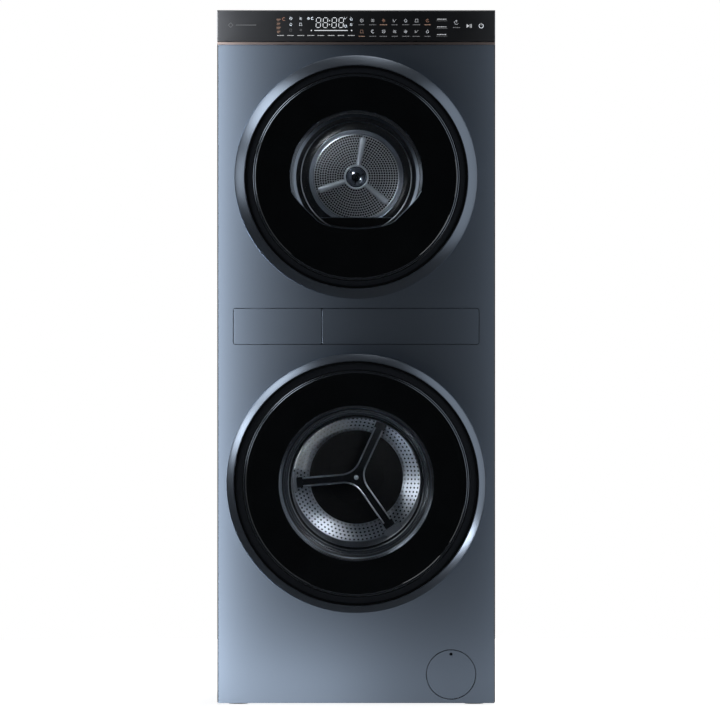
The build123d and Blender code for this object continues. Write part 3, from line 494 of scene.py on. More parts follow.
def window_bowl(door, wall, back, steps):
    """The glass bowl: a clear bottom and side walls with steps of (radius, depth, finish) in millimetres."""
    f, b = door.bowl_front, door.bowl_back
    inner = [(0, b - 4 * MM), (back - 9 * MM, b - 4 * MM), (back - 6 * MM, b - 5 * MM)]
    finishes = [GLASSY, DARK_WALL]
    for radius, depth, finish in steps:
        inner.append((radius * MM, f + depth * MM))
        finishes.append(finish)
    inner += [(wall - 1 * MM, f + 4 * MM), (wall + 1 * MM, f)]
    finishes += [DARK_WALL] * 2
    flange_back = f + 3.9 * MM
    outer = [
        (door.bowl_rim, f), (door.bowl_rim, flange_back), (wall + 4 * MM, flange_back), (wall, f + 5 * MM),
        (back, b - 3 * MM), (back - 4 * MM, b), (0, b),
    ]
    outline = inner + outer
    finishes += [DARK_WALL] * (len(outer) - 1) + [GLASSY]
    bm = bmesh.new()
    lathe(bm, outline, door.height, 200, closed=False, finishes=finishes[:len(outline) - 1])
    make(f"{door.name}_bowl_glass", bm, door.body, CLEAR, SATIN_BLACK, SMOKE, RING_METAL,
         slot="clear_glass", replaces=[f"{door.name}_window_bowl"], smooth_deg=20)


for each in (UPPER, LOWER):
    door_ring(each)
    door_pane(each)
window_trim(UPPER, [
    (142.5, 3.5, DARK), (141.6, 4.1, LINE), (140.8, 10, DARK), (139.8, 10.6, LINE), (138.8, 17, DARK),
    (136.4, 18.4, LINE), (136, 21, DARK), (129.8, 24.9, BAND), (129.4, 26.6, DARK),
])
window_trim(LOWER, [
    (166.8, 4, DARK), (165.6, 4.8, LINE), (164.8, 12, DARK), (163.8, 12.7, LINE), (163, 23, DARK),
    (160.6, 25.2, BAND),
])
window_bowl(UPPER, 131 * MM, 126 * MM, [(122.5, 22, DARK_WALL), (125, 12, DARK_WALL)])
window_bowl(LOWER, 163 * MM, 148 * MM, [
    (146, 68, DARK_WALL), (149, 52, SMOKY), (150, 50, STEP_LINE), (154, 32, SMOKY), (155.2, 30, STEP_LINE),
    (157.5, 14, SMOKY),
])


def bowl_rings():
    """Bright beads inside the bowls, near their bottoms."""
    bm = bmesh.new()
    torus(bm, UPPER.height, UPPER.bowl_back - 7 * MM, 120 * MM, 1.7 * MM)
    make("upper_bowl_ring", bm, UPPER.body, BRIGHT_EDGE, slot="clear_glass")
    bm = bmesh.new()
    torus(bm, LOWER.height, LOWER.bowl_back - 7 * MM, 140.5 * MM, 1.2 * MM)
    torus(bm, LOWER.height, LOWER.bowl_back - 26 * MM, 147.5 * MM, 0.9 * MM)
    make("lower_bowl_rings", bm, LOWER.body, BRIGHT_EDGE, slot="clear_glass")


bowl_rings()


def window_mask():
    """The black print that closes the dryer window below the lint filter, with its light outline."""
    half = [
        (0, -112), (30, -110.5), (58, -106), (73, -101), (84, -94.5), (92, -86), (103, -75.5), (121, -57.5),
        (133, -43), (140.8, -30),
    ]
    edge = [(-x, z) for x, z in half[:0:-1]] + half
    points = [(x * MM, UPPER.height + z * MM) for x, z in edge]
    y = UPPER.glass_front + 4.9 * MM
    bm = bmesh.new()
    start = math.atan2(half[-1][1], half[-1][0])
    rim_radius = 147 * MM
    steps = 60
    rim = []
    for step in range(steps + 1):
        angle = start - (math.pi + 2 * start) * step / steps
        rim.append((rim_radius * math.cos(angle), UPPER.height + rim_radius * math.sin(angle)))
    prism(bm, points + rim, y, y + 0.6 * MM)
    make("upper_window_mask", bm, UPPER.body, BLACK_GLASS, slot="black_glass")
    bm = bmesh.new()
    tube(bm, points, y + 0.5 * MM, 1.0 * MM)
    make("upper_window_outline", bm, UPPER.body, BAND_METAL, slot="dark_plastic")


window_mask()


# ---------------------------------------------------------------- dryer drum
DRUM_LOW, DRUM_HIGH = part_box("dryer_drum")
STAR_LOW, STAR_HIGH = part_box("dryer_star")


def flat_place(y, height):
    """A flat turned surface at one depth: u is the radius."""
    return lambda u, angle: (u * math.cos(angle), y, height + u * math.sin(angle))


def wall_place(radius, height):
    """A straight turned wall: u is the depth."""
    return lambda u, angle: (radius * math.cos(angle), u, height + radius * math.sin(angle))


def cone_place(start, end, height):
    """A conical turned surface between two (radius, y) points: u runs from the first to the second."""
    length = math.dist(start, end)

    def place(u, angle):
        share = u / length
        radius = start[0] + (end[0] - start[0]) * share
        y = start[1] + (end[1] - start[1]) * share
        return radius * math.cos(angle), y, height + radius * math.sin(angle)

    return place, length


def ring_rows(low, high, pitch):
    """Evenly spaced rows between two radii, as (u, radius) pairs where u is the radius."""
    count = round((high - low) / pitch)
    step = (high - low) / count
    return [(low + step * (i + 0.5), low + step * (i + 0.5)) for i in range(count)]


def dryer_drum():
    """The steel drum: a ribbed wall and a stepped back with a perforated middle."""
    z, r, t = UPPER.height, DRUM_HIGH[0], 1.5 * MM
    front = DRUM_LOW[1]
    back = 186 * MM
    outline = [(255 * MM, front), (r, front)]
    for rib in (-120, -20, 80):
        y = rib * MM
        waist = r - 2.5 * MM
        outline += [(r, y - 14 * MM), (waist, y - 6 * MM), (waist, y + 6 * MM), (r, y + 14 * MM)]
    outline += [(r, back - 4 * MM), (r - 4 * MM, back), (150 * MM, back), (122 * MM, 203 * MM),
                (104 * MM, 203 * MM), (101 * MM, 201 * MM), (96 * MM, 196.5 * MM), (92.7 * MM, 196 * MM)]
    inner = [(radius - t if y < back - 1 * MM else radius, y if y < back - 1 * MM else y - t)
             for radius, y in outline[1:]]
    bm = bmesh.new()
    profile = outline + inner[::-1] + [(255 * MM, front + t)]
    # The spans of the drum's back between radii 103 and 200 mm get satin black, as painted shade on the
    # steel.
    nearest = [min(a[0], b[0]) for a, b in zip(profile, profile[1:] + profile[:1])]
    finishes = [1 if 103 * MM < radius < 200 * MM else 0 for radius in nearest]
    lathe(bm, profile, z, 160, finishes=finishes)
    face = flat_place(195.2 * MM, z)
    perforated(bm, face, ring_rows(27 * MM, 92.7 * MM, 5.5 * MM), 5.5 * MM, 2.3 * MM)
    make("dryer_drum_steel", bm, "dryer_drum", BACK_STEEL, SATIN_BLACK, slot="drum_steel",
         replaces=["dryer_drum"])
    bm = bmesh.new()
    # A black disc behind the perforated middle, as painted shade for the dark cavity behind the holes.
    lathe(bm, [(0, 200.5 * MM), (94 * MM, 200.5 * MM)], z, 96, closed=False)
    make("dryer_painted_shade_disc", bm, "dryer_drum", DEEP_BLACK, slot="dark_plastic")
    bm = bmesh.new()
    torus(bm, z, 202 * MM, 104.5 * MM, 1.0 * MM)
    torus(bm, z, 195.4 * MM, 95 * MM, 0.8 * MM)
    make("dryer_back_rings", bm, "dryer_drum", DARK_CHROME, slot="drum_steel")


def star_arm(bm, angle, z, start, end, y_back, thick):
    """One rounded arm that widens outwards and ends in a half circle."""
    stations = 14
    half_circle = 10
    rows = []
    for step in range(stations + 1):
        share = step / stations
        reach = start + (end - start) * share
        half = (5.0 + 3.0 * share) * MM
        left = end - reach
        if left < half:
            half = math.sqrt(max(half * half - (half - left) ** 2, 1e-10))
        rise = thick * (1 - 0.35 * share) * min(1.0, 0.35 + half / (6 * MM))
        row = []
        for point in range(half_circle + 1):
            turn_angle = math.pi * point / half_circle
            across = half * math.cos(turn_angle)
            y = y_back - rise * math.sin(turn_angle) ** 0.45
            x = reach * math.cos(angle) - across * math.sin(angle)
            up = reach * math.sin(angle) + across * math.cos(angle)
            row.append(bm.verts.new((x, y, z + up)))
        rows.append(row)
    for a, b in zip(rows, rows[1:]):
        for i in range(half_circle):
            bm.faces.new((a[i], a[i + 1], b[i + 1], b[i]))
        bm.faces.new((a[half_circle], a[0], b[0], b[half_circle]))
    bm.faces.new(rows[0])
    bm.faces.new(rows[-1][::-1])


def dryer_star():
    """The three-armed star with its domed hub and shaft."""
    z = UPPER.height
    back = STAR_LOW[1] + 18.5 * MM
    bm = bmesh.new()
    for degrees in (80, 200, 320):
        star_arm(bm, math.radians(degrees), z, 18 * MM, 92 * MM, back, 8 * MM)
    f = STAR_LOW[1]
    hub = [
        (0, f), (5 * MM, f + 0.25 * MM), (10 * MM, f + 1.1 * MM), (14.5 * MM, f + 2.8 * MM),
        (18 * MM, f + 5.4 * MM), (20.4 * MM, f + 8.6 * MM), (21.2 * MM, f + 10.4 * MM),
        (23 * MM, f + 10.4 * MM), (25.4 * MM, f + 9.6 * MM),
        (27.4 * MM, f + 10.6 * MM), (28 * MM, f + 12.6 * MM), (28 * MM, back), (12.5 * MM, back),
        (12.5 * MM, STAR_HIGH[1]), (0, STAR_HIGH[1]),
    ]
    dome, ring = 1, 0
    finishes = [dome] * 7 + [ring] * 7
    lathe(bm, hub, z, 96, closed=False, finishes=finishes)
    make("dryer_star_cast", bm, "dryer_drum", STAR_CAST, DARK_CHROME, slot="cast_aluminium",
         replaces=["dryer_star"])


def dryer_mouth_rings():
    """Two thin bright beads in the dryer's mouth."""
    bm = bmesh.new()
    torus(bm, UPPER.height, -280.4 * MM, 135.2 * MM, 1.1 * MM)
    torus(bm, UPPER.height, -240 * MM, 135.4 * MM, 0.8 * MM)
    make("dryer_mouth_rings", bm, "cabinet", RING_METAL, slot="grey_plastic")


dryer_drum()
dryer_star()
dryer_mouth_rings()


# ---------------------------------------------------------------- lint filter
def lint_filter_trim():
    """A light edge along the filter's chord, grip slots in its lip and a dark rim under it."""
    front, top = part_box("lint_filter")[0][1], UPPER.height - 88 * MM
    half = 99.7 * MM
    bm = bmesh.new()
    edge = half - 3 * MM
    slab(bm, (-edge, front + 0.2 * MM, top - 1.6 * MM), (edge, front + 3 * MM, top - 0.2 * MM), 0.3 * MM)
    for side in (-1, 1):
        # how far from the middle, how far below the axis, and how long each slot is
        for x, z, long in ((76, 93.5, 13), (90, 91.2, 8)):
            centre = side * x * MM
            slab(bm, (centre - long * MM / 2, front - 0.25 * MM, UPPER.height - (z + 1.1) * MM),
                 (centre + long * MM / 2, front + 1 * MM, UPPER.height - (z - 0.6) * MM), 0.2 * MM)
    lip = []
    steps = 32
    for step in range(steps + 1):
        share = step / steps * 2 - 1
        lip.append((share * 92 * MM, UPPER.height - (111 - 18.5 * share * share) * MM))
    under = [(x, z + 1.5 * MM) for x, z in lip]
    prism(bm, lip + under[::-1], front - 0.2 * MM, front + 2 * MM)
    tube(bm, [(-half + 2 * MM, top), (0, top), (half - 2 * MM, top)], front + 0.4 * MM, 1.1 * MM)
    make("lint_filter_edges", bm, "lint_filter", BAND_METAL, slot="dark_plastic")


lint_filter_trim()


# ---------------------------------------------------------------- washer drum
def washer_drum():
    """The steel drum: perforated wall, rolled front lip, perforated cone and a dark middle.

    A dark backing stands behind the cone's holes, as painted shade. One sector of it is pale, as painted
    light, so that its holes look lit; that pale piece is returned, because it has a lamp of its own.
    """
    z = LOWER.height
    low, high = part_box("washer_drum")
    r, t = high[0], 1.5 * MM
    wall_front, wall_back = -196 * MM, 152 * MM
    bm = bmesh.new()
    lip = [
        (178 * MM, low[1]), (181 * MM, low[1]), (185 * MM, low[1] + 3 * MM), (186.5 * MM, wall_front),
        (r - 3 * MM, wall_front), (r, wall_front + 3 * MM), (r, wall_front + 12 * MM),
        (r - t, wall_front + 12 * MM), (r - t, wall_front + 3.6 * MM), (r - 3.4 * MM, wall_front + t),
        (185 * MM, wall_front + t), (183.6 * MM, low[1] + 4 * MM), (178 * MM, low[1] + t),
    ]
    lathe(bm, lip, z, 160)
    pitch = 18 * MM
    rows = round((wall_back - wall_front - 20 * MM) / pitch)
    first = wall_front + 12 * MM
    step = (wall_back - 6 * MM - first) / rows
    wall_rows = [(first + step * (i + 0.5), r) for i in range(rows)]
    perforated(bm, wall_place(r - t / 2, z), wall_rows, step, 2.3 * MM)
    back = [
        (r, wall_back - 6 * MM), (r, wall_back - 3 * MM), (r - 3 * MM, wall_back), (142.5 * MM, wall_back),
        (141 * MM, wall_back + 1 * MM), (141 * MM, wall_back + 0.2 * MM), (142 * MM, wall_back - t),
        (r - 4 * MM, wall_back - t), (r - t, wall_back - 4 * MM), (r - t, wall_back - 6 * MM),
    ]
    lathe(bm, back, z, 160)
    cone, length = cone_place((141 * MM, wall_back), (103 * MM, high[1] - t), z)
    pitch = 9.6 * MM
    rows = round(length / pitch)
    ring = [(length * (i + 0.5) / rows, 141 * MM - 38 * MM * (i + 0.5) / rows) for i in range(rows)]
    perforated(bm, cone, ring, length / rows, 2.4 * MM)
    make("washer_drum_steel", bm, "washer_drum", CONE_STEEL, slot="drum_steel", replaces=["washer_drum"])
    bm = bmesh.new()
    centre = [
        (0, high[1] - 5 * MM), (34 * MM, high[1] - 4.4 * MM), (60 * MM, high[1] - 4 * MM),
        (61 * MM, high[1] - 2.6 * MM), (100 * MM, high[1] - 2.2 * MM), (104 * MM, high[1] - 1.2 * MM),
        (104 * MM, high[1]), (0, high[1]),
    ]
    lathe(bm, centre, z, 128, closed=False)
    make("washer_drum_centre", bm, "washer_drum", DEEP_BLACK, slot="drum_steel")
    bm = bmesh.new()
    behind = [(150 * MM, wall_back + 5 * MM), (109 * MM, high[1] - 0.4 * MM)]
    # Degrees of the pale sector, which is painted light; the rest of the backing is dark, as painted shade.
    painted_light_from, painted_light_to = 98, 172
    painted_shade_sweep = 360 - (painted_light_to - painted_light_from)
    lathe(bm, behind, z, 80, start=math.radians(painted_light_to), sweep=math.radians(painted_shade_sweep), closed=False)
    make("washer_cone_painted_shade_backing", bm, "washer_drum", DEEP_BLACK, slot="drum_steel")
    bm = bmesh.new()
    painted_light_sweep = math.radians(painted_light_to - painted_light_from)
    lathe(bm, behind, z, 24, start=math.radians(painted_light_from), sweep=painted_light_sweep, closed=False)
    return make("washer_cone_painted_light_backing", bm, "washer_drum", TUB_PLASTIC, slot="drum_steel")


CROSS_ARMS = (65, 185, 305)


def cross_outline(z, half, end, web):
    """The outline of three arms with slightly wider ends, joined by round webs."""
    points = []
    sin_60 = math.sin(math.radians(60))
    for degrees in CROSS_ARMS:
        a = math.radians(degrees)
        along = Vector((math.cos(a), math.sin(a)))
        left = Vector((-math.sin(a), math.cos(a)))
        for sign in (-1, 1):
            corner = along * end + left * half * sign * 1.35
            points.append((corner.x, z + corner.y))
        neck = along * (end - 16 * MM) + left * half
        points.append((neck.x, z + neck.y))
        bisector = a + math.radians(60)
        centre_r = half / sin_60 + web / sin_60
        cx, cz = centre_r * math.cos(bisector), centre_r * math.sin(bisector)
        for step in range(13):
            sweep = a - math.radians(90 + 60 * step / 12)
            points.append((cx + web * math.cos(sweep), z + cz + web * math.sin(sweep)))
        following = a + math.radians(120)
        along = Vector((math.cos(following), math.sin(following)))
        left = Vector((-math.sin(following), math.cos(following)))
        neck = along * (end - 16 * MM) - left * half
        points.append((neck.x, z + neck.y))
    return points


def rear_cross():
    """The dark three-armed cross with bright edges as painted highlight, a small cap and a grey block at each
    arm's end.
    """
    black, bright, grey = 0, 1, 2
    z = LOWER.height
    low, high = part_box("rear_cross")
    bm = bmesh.new()
    prism(bm, cross_outline(z, 10 * MM, 134 * MM, 44 * MM), low[1], high[1], finish=black)
    # The bevelled front edges, the beads and the cap get bright metal: painted highlight on the cast part,
    # which the lamps also light.
    rim = [edge for edge in bm.edges if all(abs(v.co.y - low[1]) < 1e-6 for v in edge.verts)]
    made = bmesh.ops.bevel(bm, geom=rim, offset=1.5 * MM, segments=1, affect="EDGES")
    for face in made["faces"]:
        face.material_index = bright
    outline = cross_outline(z, 8.6 * MM, 134 * MM, 46 * MM)
    third = len(outline) // 3
    for bay in range(3):
        path = [outline[(bay * third + 2 + i) % len(outline)] for i in range(third - 2)]
        tube(bm, path, low[1] - 0.2 * MM, 1.9 * MM, finish=bright)
    cap = [
        (0, low[1] - 3 * MM),
        (2.4 * MM, low[1] - 2.6 * MM),
        (4.4 * MM, low[1] - 1.4 * MM),
        (5.6 * MM, low[1] + 0.5 * MM),
    ]
    lathe(bm, cap, z, 40, closed=False, finishes=[bright] * 3)
    outer_radius, inner_radius = 149 * MM, 132 * MM
    span, steps = 17, 8
    for degrees in CROSS_ARMS:
        outer, inner = [], []
        for step in range(steps + 1):
            a = math.radians(degrees - span / 2 + span * step / steps)
            outer.append((outer_radius * math.cos(a), z + outer_radius * math.sin(a)))
            inner.append((inner_radius * math.cos(a), z + inner_radius * math.sin(a)))
        prism(bm, outer + inner[::-1], low[1] - 1.2 * MM, low[1] + 4 * MM, finish=grey)
    make("washer_cross_cast", bm, "washer_drum", SATIN_BLACK, BRIGHT_EDGE, BLOCK_GREY, slot="cast_aluminium",
         replaces=["rear_cross"])


painted_light_backing = washer_drum()
rear_cross()


# ---------------------------------------------------------------- control panel marks
MARK_BACK = GLASS_FRONT + 0.05 * MM
MARK_FRONT = GLASS_FRONT - 0.12 * MM


def stroke(bm, points, width, closed=False):
    """A flat line of even width through the given (x, z) points in millimetres."""
    ends = points[1:] + points[:1] if closed else points[1:]
    for (x0, z0), (x1, z1) in zip(points, ends):
        run = Vector((x1 - x0, z1 - z0))
        if run.length < 1e-6:
            continue
        run.normalize()
        side = Vector((-run.y, run.x)) * width / 2
        run *= width * 0.35
        corners = [
            (x0 - run.x + side.x, z0 - run.y + side.y),
            (x0 - run.x - side.x, z0 - run.y - side.y),
            (x1 + run.x - side.x, z1 + run.y - side.y),
            (x1 + run.x + side.x, z1 + run.y + side.y),
        ]
        prism(bm, mm_points(corners), MARK_FRONT, MARK_BACK)


def arc(x, z, radius, start=0, stop=360, steps=18):
    """Points along a circular arc, in millimetres and degrees."""
    angles = [math.radians(start + (stop - start) * i / steps) for i in range(steps + 1)]
    return [(x + radius * math.cos(a), z + radius * math.sin(a)) for a in angles]


def dot(bm, x, z, radius):
    """A filled round mark."""
    prism(bm, mm_points(arc(x, z, radius, 0, 330, 11)), MARK_FRONT, MARK_BACK)


def bar(bm, x, z, wide, high):
    """A filled upright rectangle."""
    points = [(x - wide / 2, z - high / 2), (x + wide / 2, z - high / 2),
              (x + wide / 2, z + high / 2), (x - wide / 2, z + high / 2)]
    prism(bm, mm_points(points), MARK_FRONT, MARK_BACK)


def caption(bm, x, z, wide, seed):
    """A row of short dashes of uneven length in place of a printed word."""
    left = x - wide / 2
    index = seed
    while left < x + wide / 2 - 0.8:
        long = min(1.6 + (index * 7 % 5) * 0.55, x + wide / 2 - left)
        bar(bm, left + long / 2, z, long, 1.25 if index % 3 else 1.6)
        left += long + 0.55
        index += 1


def icon(bm, kind, x, z, size=3.6):
    """One of a few plain outline marks."""
    s, pen = size, 0.5
    if kind == 0:
        stroke(bm, arc(x, z, s)[:-1], pen, closed=True)
        stroke(bm, [(x - s * 0.5, z), (x + s * 0.5, z)], pen)
    elif kind == 1:
        stroke(bm, [(x, z + s * 1.15)] + arc(x, z - s * 0.2, s * 0.8, 30, -210, 12), pen, closed=True)
    elif kind == 2:
        for step in (-0.7, 0, 0.7):
            row = z + step * s
            wave = [(x - s, row), (x - s * 0.35, row + 0.7), (x + s * 0.35, row - 0.7), (x + s, row)]
            stroke(bm, wave, pen)
    elif kind == 3:
        tub = [(x - s, z - s), (x + s, z - s), (x + s * 0.7, z + s), (x - s * 0.7, z + s)]
        stroke(bm, tub, pen, closed=True)
    elif kind == 4:
        stroke(bm, arc(x, z, s * 0.5)[:-1], pen, closed=True)
        for step in range(8):
            a = math.radians(45 * step)
            stroke(bm, [(x + s * 0.8 * math.cos(a), z + s * 0.8 * math.sin(a)),
                        (x + s * 1.15 * math.cos(a), z + s * 1.15 * math.sin(a))], pen)
    elif kind == 5:
        stroke(bm, arc(x, z, s, 60, 330), pen)
        stroke(bm, [(x, z), (x, z + s * 0.6), (x + s * 0.4, z + s * 0.6)], pen)
    else:
        stroke(bm, [(x - s, z), (x - s * 0.3, z - s * 0.8), (x + s, z + s * 0.8)], pen)
        stroke(bm, [(x - s, z + s), (x - s, z - s)], pen)


def digit_eight(bm, x, z, wide=9.6, high=21.0, pen=1.35):
    """All seven bars of one digit, leaning a little to the right."""
    half, up = wide / 2, high / 2
    lean = 0.06
    cells = [(0, up, 1), (0, 0, 1), (0, -up, 1), (-half, up / 2, 0), (half, up / 2, 0),
             (-half, -up / 2, 0), (half, -up / 2, 0)]
    for cx, cz, flat in cells:
        long = half - 1.15 if flat else up / 2 - 1.15
        tip = pen / 2
        if flat:
            shape = [
                (-long, 0), (-long + tip, -tip), (long - tip, -tip), (long, 0), (long - tip, tip),
                (-long + tip, tip),
            ]
        else:
            shape = [
                (0, -long), (tip, -long + tip), (tip, long - tip), (0, long), (-tip, long - tip),
                (-tip, -long + tip),
            ]
        points = [(x + cx + px + lean * (cz + pz), z + cz + pz) for px, pz in shape]
        prism(bm, mm_points(points), MARK_FRONT, MARK_BACK)


def control_marks():
    """The printed and lit marks on the black glass: a time display, plain icons and dashes for words."""
    lit = bmesh.new()
    for x in (-81.5, -66.5, -47.5, -32.5):
        digit_eight(lit, x, 1473.2)
    dot(lit, -57.3, 1477.5, 1.2)
    dot(lit, -57.6, 1469, 1.2)
    bar(lit, -54.3, 1456.3, 72, 1.5)
    dot(lit, -96.8, 1456.3, 1.4)
    dot(lit, -10, 1456.3, 1.4)
    beside_clock = [
        (-141, 1482), (-141, 1469.5), (-120, 1482), (-120, 1469.5), (-103, 1482.2), (-94.5, 1482.2),
        (-23, 1483), (-23, 1465.5), (-10.8, 1481.2), (-10.8, 1468.8),
    ]
    for number, (x, z) in enumerate(beside_clock):
        icon(lit, number % 7, x, z, 2.7)
    make("display_marks", lit, "cabinet", LIT, slot="black_glass")

    ink = bmesh.new()
    dim = bmesh.new()
    warm = bmesh.new()
    stroke(dim, [(-276, 1468), (-271, 1473), (-266, 1468), (-271, 1463)], 0.9, closed=True)
    bar(dim, -238, 1468, 44, 1.3)
    stroke(warm, arc(-156, 1481, 3, 50, 310), 0.8)
    for row in range(4):
        bar(warm, -167.5, 1480.5 - row * 8.6, 9 - row % 2 * 2, 1.3)
        bar(warm, -168.5, 1477.3 - row * 8.6, 5 + row % 3, 0.9)
    for column in range(8):
        x = -163.3 + column * 21.8
        caption(ink, x, 1445.5, 14.5, column)
        if column in (1, 2):
            icon(dim, column + 2, x, 1457.2, 2.4)
    for row, (z, z_word) in enumerate([(1477.7, 1468.6), (1454.1, 1443.7)]):
        for column in range(7):
            x = 11.9 + column * 23.7
            copper = (row, column) in ((0, 2), (0, 6), (1, 0))
            icon(warm if copper else ink, (column * 2 + row * 3) % 7, x, z, 3.2)
            caption(warm if copper else dim, x, z_word, 13 + column % 3 * 2, column + row)
    for index, z in enumerate((1480.7, 1464.1, 1447.6)):
        caption(ink, 184.7, z, 20, index + 2)
        bar(dim, 184.7, z - 3.6, 24, 0.6)
    icon(ink, 5, 216.4, 1473.5, 4.2)
    caption(dim, 216.4, 1462.5, 15, 3)
    x, z = 243.4, 1466.2
    prism(ink, mm_points([(x - 5, z - 4), (x + 0.8, z), (x - 5, z + 4)]), MARK_FRONT, MARK_BACK)
    bar(ink, x + 2.6, z, 1.2, 8)
    bar(ink, x + 5.2, z, 1.2, 8)
    stroke(ink, arc(269.8, 1466.2, 4.6, 120, 420, 16), 1.0)
    stroke(ink, [(269.8, 1467.4), (269.8, 1472.2)], 1.0)
    make("printed_marks", ink, "cabinet", INK_WITH_PAINTED_GLOW, slot="black_glass")
    make("faint_marks", dim, "cabinet", DIM_INK_WITH_PAINTED_GLOW, slot="black_glass")
    make("copper_marks", warm, "cabinet", WARM_INK_WITH_PAINTED_GLOW, slot="copper_trim")


control_marks()


# ---------------------------------------------------------------- small parts on the cabinet
def panel_edges():
    """Bright folded edges down both sides of the front panel."""
    bm = bmesh.new()
    half, top = 0.8 * MM, PANEL_HIGH[2] - 1 * MM
    for side in (-1, 1):
        x = side * (BODY_HIGH[0] - 1.1 * MM)
        slab(bm, (x - half, FRONT - 0.12 * MM, 4 * MM), (x + half, FRONT + 1.5 * MM, top), 0.3 * MM)
    make("panel_edges", bm, "cabinet", RING_METAL, slot="panel_paint")


def rear_screws():
    """Two columns of screws down the back panel."""
    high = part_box("rear_panel")[1]
    bm = bmesh.new()
    y = high[1]
    head = [
        (0, y + 2.2 * MM),
        (2.4 * MM, y + 2.1 * MM),
        (4.6 * MM, y + 1.2 * MM),
        (5.2 * MM, y - 0.2 * MM),
    ]
    for side in (-1, 1):
        for z in (0.06, 0.32, 0.58, 0.84, 1.10, 1.36):
            lathe(bm, head, z, 24, x=side * (high[0] - 9 * MM), closed=False)
    make("rear_screws", bm, "cabinet", STEEL, slot="zinc_steel")


panel_edges()
rear_screws()


# ---------------------------------------------------------------- camera, light and floor
COOL = (0.90, 0.95, 1.0)
COOLER = (0.88, 0.94, 1.0)
PALE = (0.92, 0.96, 1.0)
PALER = (0.93, 0.96, 1.0)
WHITE = (1, 1, 1)


def area_light(name, place, target, size, power, color=COOL, only=None):
    """A rectangular lamp that faces a target. If only is a collection, it lights nothing else."""
    lamp = bpy.data.lights.new(name, "AREA")
    lamp.shape = "RECTANGLE"
    lamp.size, lamp.size_y = size
    lamp.energy = power
    lamp.color = color
    holder = bpy.data.objects.new(name, lamp)
    holder.location = place
    holder.rotation_euler = (Vector(target) - Vector(place)).to_track_quat("-Z", "Y").to_euler()
    bpy.context.scene.collection.objects.link(holder)
    if only:
        holder.light_linking.receiver_collection = only


def lit_group(name, members):
    """A collection that names what a lamp may light."""
    group = bpy.data.collections.new(name)
    for member in members:
        group.objects.link(member)
    return group


def camera():
    """A long lens far in front, as flat as the photograph."""
    lens = bpy.data.cameras.new("camera")
    holder = bpy.data.objects.new("camera", lens)
    distance, frame_size = 23.0, 1.555
    eye, aim, aside = 1.14, 0.7448, 0.0082
    sensor = 36
    lens.sensor_width = sensor
    lens.lens = sensor * distance / frame_size
    lens.clip_start = 1
    lens.clip_end = 200
    holder.location = (aside, FRONT - distance, eye)
    holder.rotation_euler = (math.pi / 2 - math.atan((eye - aim) / distance), 0, 0)
    bpy.context.scene.collection.objects.link(holder)
    bpy.context.scene.camera = holder


def surroundings():
    """A white backdrop for camera rays, a dim cool room for all others, and a pale floor that glows.

    The floor is hidden from glossy rays, so that its glow doesn't show in the paint and the glass.
    """
    world = bpy.data.worlds.new("studio")
    bpy.context.scene.world = world
    world.use_nodes = True
    nodes, links = world.node_tree.nodes, world.node_tree.links
    room = nodes["Background"]
    room.inputs["Color"].default_value = (0.80, 0.88, 1.0, 1)
    room.inputs["Strength"].default_value = 0.015
    backdrop = nodes.new("ShaderNodeBackground")
    backdrop.inputs["Color"].default_value = (1, 1, 1, 1)
    backdrop.inputs["Strength"].default_value = 1.0
    rays = nodes.new("ShaderNodeLightPath")
    blend = nodes.new("ShaderNodeMixShader")
    links.new(rays.outputs["Is Camera Ray"], blend.inputs["Fac"])
    links.new(room.outputs["Background"], blend.inputs[1])
    links.new(backdrop.outputs["Background"], blend.inputs[2])
    links.new(blend.outputs["Shader"], nodes["World Output"].inputs["Surface"])
    pale, nodes, links, shader = material("pale_floor", (0.86, 0.86, 0.86), 0.0, 0.8)
    shader.inputs["Emission Color"].default_value = (1, 1, 1, 1)
    shader.inputs["Emission Strength"].default_value = 0.9
    noise = add_noise(nodes, links, 30)
    vary_roughness(nodes, links, shader, noise, 0.7, 0.9)
    bm = bmesh.new()
    bmesh.ops.create_circle(bm, cap_ends=True, segments=96, radius=3.0)
    mesh = bpy.data.meshes.new("floor")
    bm.to_mesh(mesh)
    bm.free()
    mesh.materials.append(pale)
    floor = bpy.data.objects.new("floor", mesh)
    floor.visible_glossy = False
    bpy.context.scene.collection.objects.link(floor)


surroundings()
camera()
bpy.context.scene.view_settings.view_transform = "Standard"


def front_lights():
    """Strips beside the panel and low lamps in front of it, for the panel's gradient."""
    front = ("front_panel", "trim_strip", "control_glass", "detergent_front", "dosing_front", "filter_cover")
    sheets = lit_group("front_sheets", [frame["nodes"][node] for node in front])
    area_light("left_strip", (-0.44, -0.42, 0.75), (-0.44, 0, 0.75), (0.06, 2.6), 18, only=sheets)
    area_light("right_strip", (0.44, -0.41, 0.75), (0.44, 0, 0.75), (0.06, 2.6), 2.3, COOLER, only=sheets)
    area_light("low_left", (-0.27, -0.60, 0.012), (-0.27, 0, 0.10), (0.5, 0.02), 0.68, only=sheets)
    area_light("low_right_strip", (0.22, -0.60, 0.012), (0.22, 0, 0.08), (0.6, 0.02), 0.24, only=sheets)


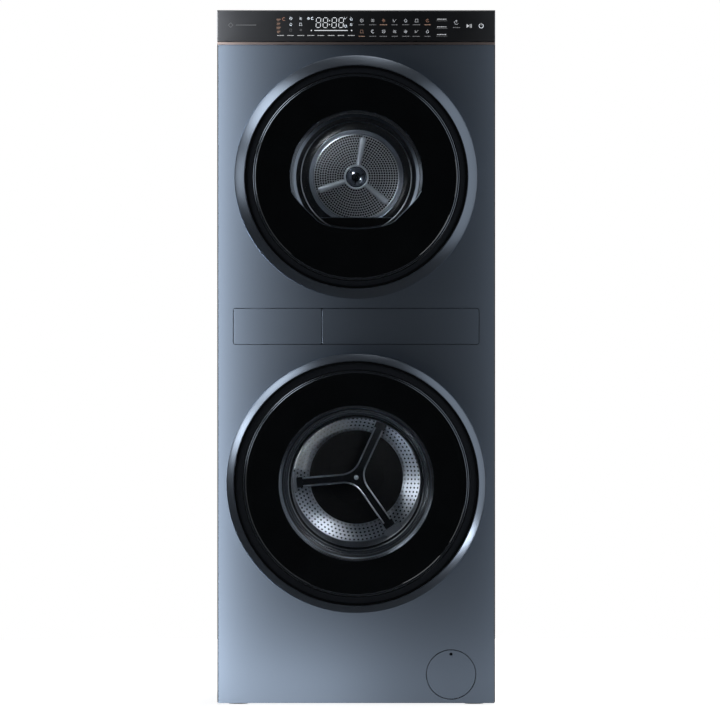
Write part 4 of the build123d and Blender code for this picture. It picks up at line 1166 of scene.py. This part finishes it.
def door_lights():
    """Soft lamps to both sides, for the highlights on the door rings; two reach only the lower ring."""
    starts = ("upper_", "lower_", "dryer_", "washer_", "lint_")
    pieces = bpy.context.scene.collection.objects
    rings = lit_group("door_rings", [each for each in pieces if each.name.startswith(starts)])
    lower = lit_group("lower_ring", [bpy.data.objects["lower_bezel_ring"]])
    area_light("upper_left", (-1.45, -1.25, 2.25), (0, -0.3, 1.1), (0.8, 0.9), 7, PALE, only=rings)
    area_light("right_soft", (1.35, -1.05, 1.25), (0, -0.3, 0.95), (0.9, 2.4), 4.4, only=rings)
    area_light("left_soft", (-1.8, -1.15, 1.16), (0, -0.3, 1.1), (0.4, 0.7), 1.6, PALE, only=rings)
    area_light("left_mid", (-1.66, -1.15, 1.24), (-0.2, -0.3, 0.55), (0.5, 0.6), 3.9, PALE, only=lower)
    area_light("low_right", (0.82, -0.72, 0.06), (0.2, -0.3, 0.36), (0.25, 0.10), 1.1, PALER, only=lower)


def room_lights():
    """A fill for the left side, and plain fills above and behind."""
    sides = lit_group("lit_sides", [frame["nodes"][node] for node in ("side_panels", "top_cover")])
    area_light("left_side_fill", (-3.2, 0.7, 1.2), (-0.3, 0.1, 0.8), (1.0, 1.8), 26, only=sides)
    area_light("top_fill", (0.2, 0.3, 3.6), (0, 0, 0.8), (2.2, 2.2), 30, WHITE)
    area_light("rear_fill", (0.8, 3.4, 1.6), (0, 0.3, 0.8), (2.0, 2.0), 60, WHITE)


def drum_lights():
    """Small lamps in and in front of the drums, one of them only for the painted-light backing behind the
    holes.
    """
    holes = lit_group("painted_light_backing", [painted_light_backing])
    area_light("dryer_lamp", (-0.15, -0.14, 1.32), (0.03, 0.19, 1.14), (0.05, 0.05), 0.42)
    area_light("dryer_lamp_low", (0.19, -0.14, 1.05), (0, 0.19, 1.14), (0.05, 0.05), 0.12)
    area_light("washer_lamp", (0.10, 0.05, 0.665), (-0.06, 0.167, 0.373), (0.10, 0.05), 0.32)
    area_light("washer_lamp_left", (-0.215, 0.03, 0.49), (0.12, 0.167, 0.458), (0.04, 0.10), 0.12)
    area_light("hole_glow", (0.05, -0.02, 0.45), (-0.09, 0.17, 0.58), (0.1, 0.1), 8, WHITE, only=holes)
    area_light("washer_front_lamp", (0.17, -0.17, 0.62), (0, 0.14, 0.48), (0.05, 0.05), 0.22)


front_lights()
door_lights()
room_lights()
drum_lights()
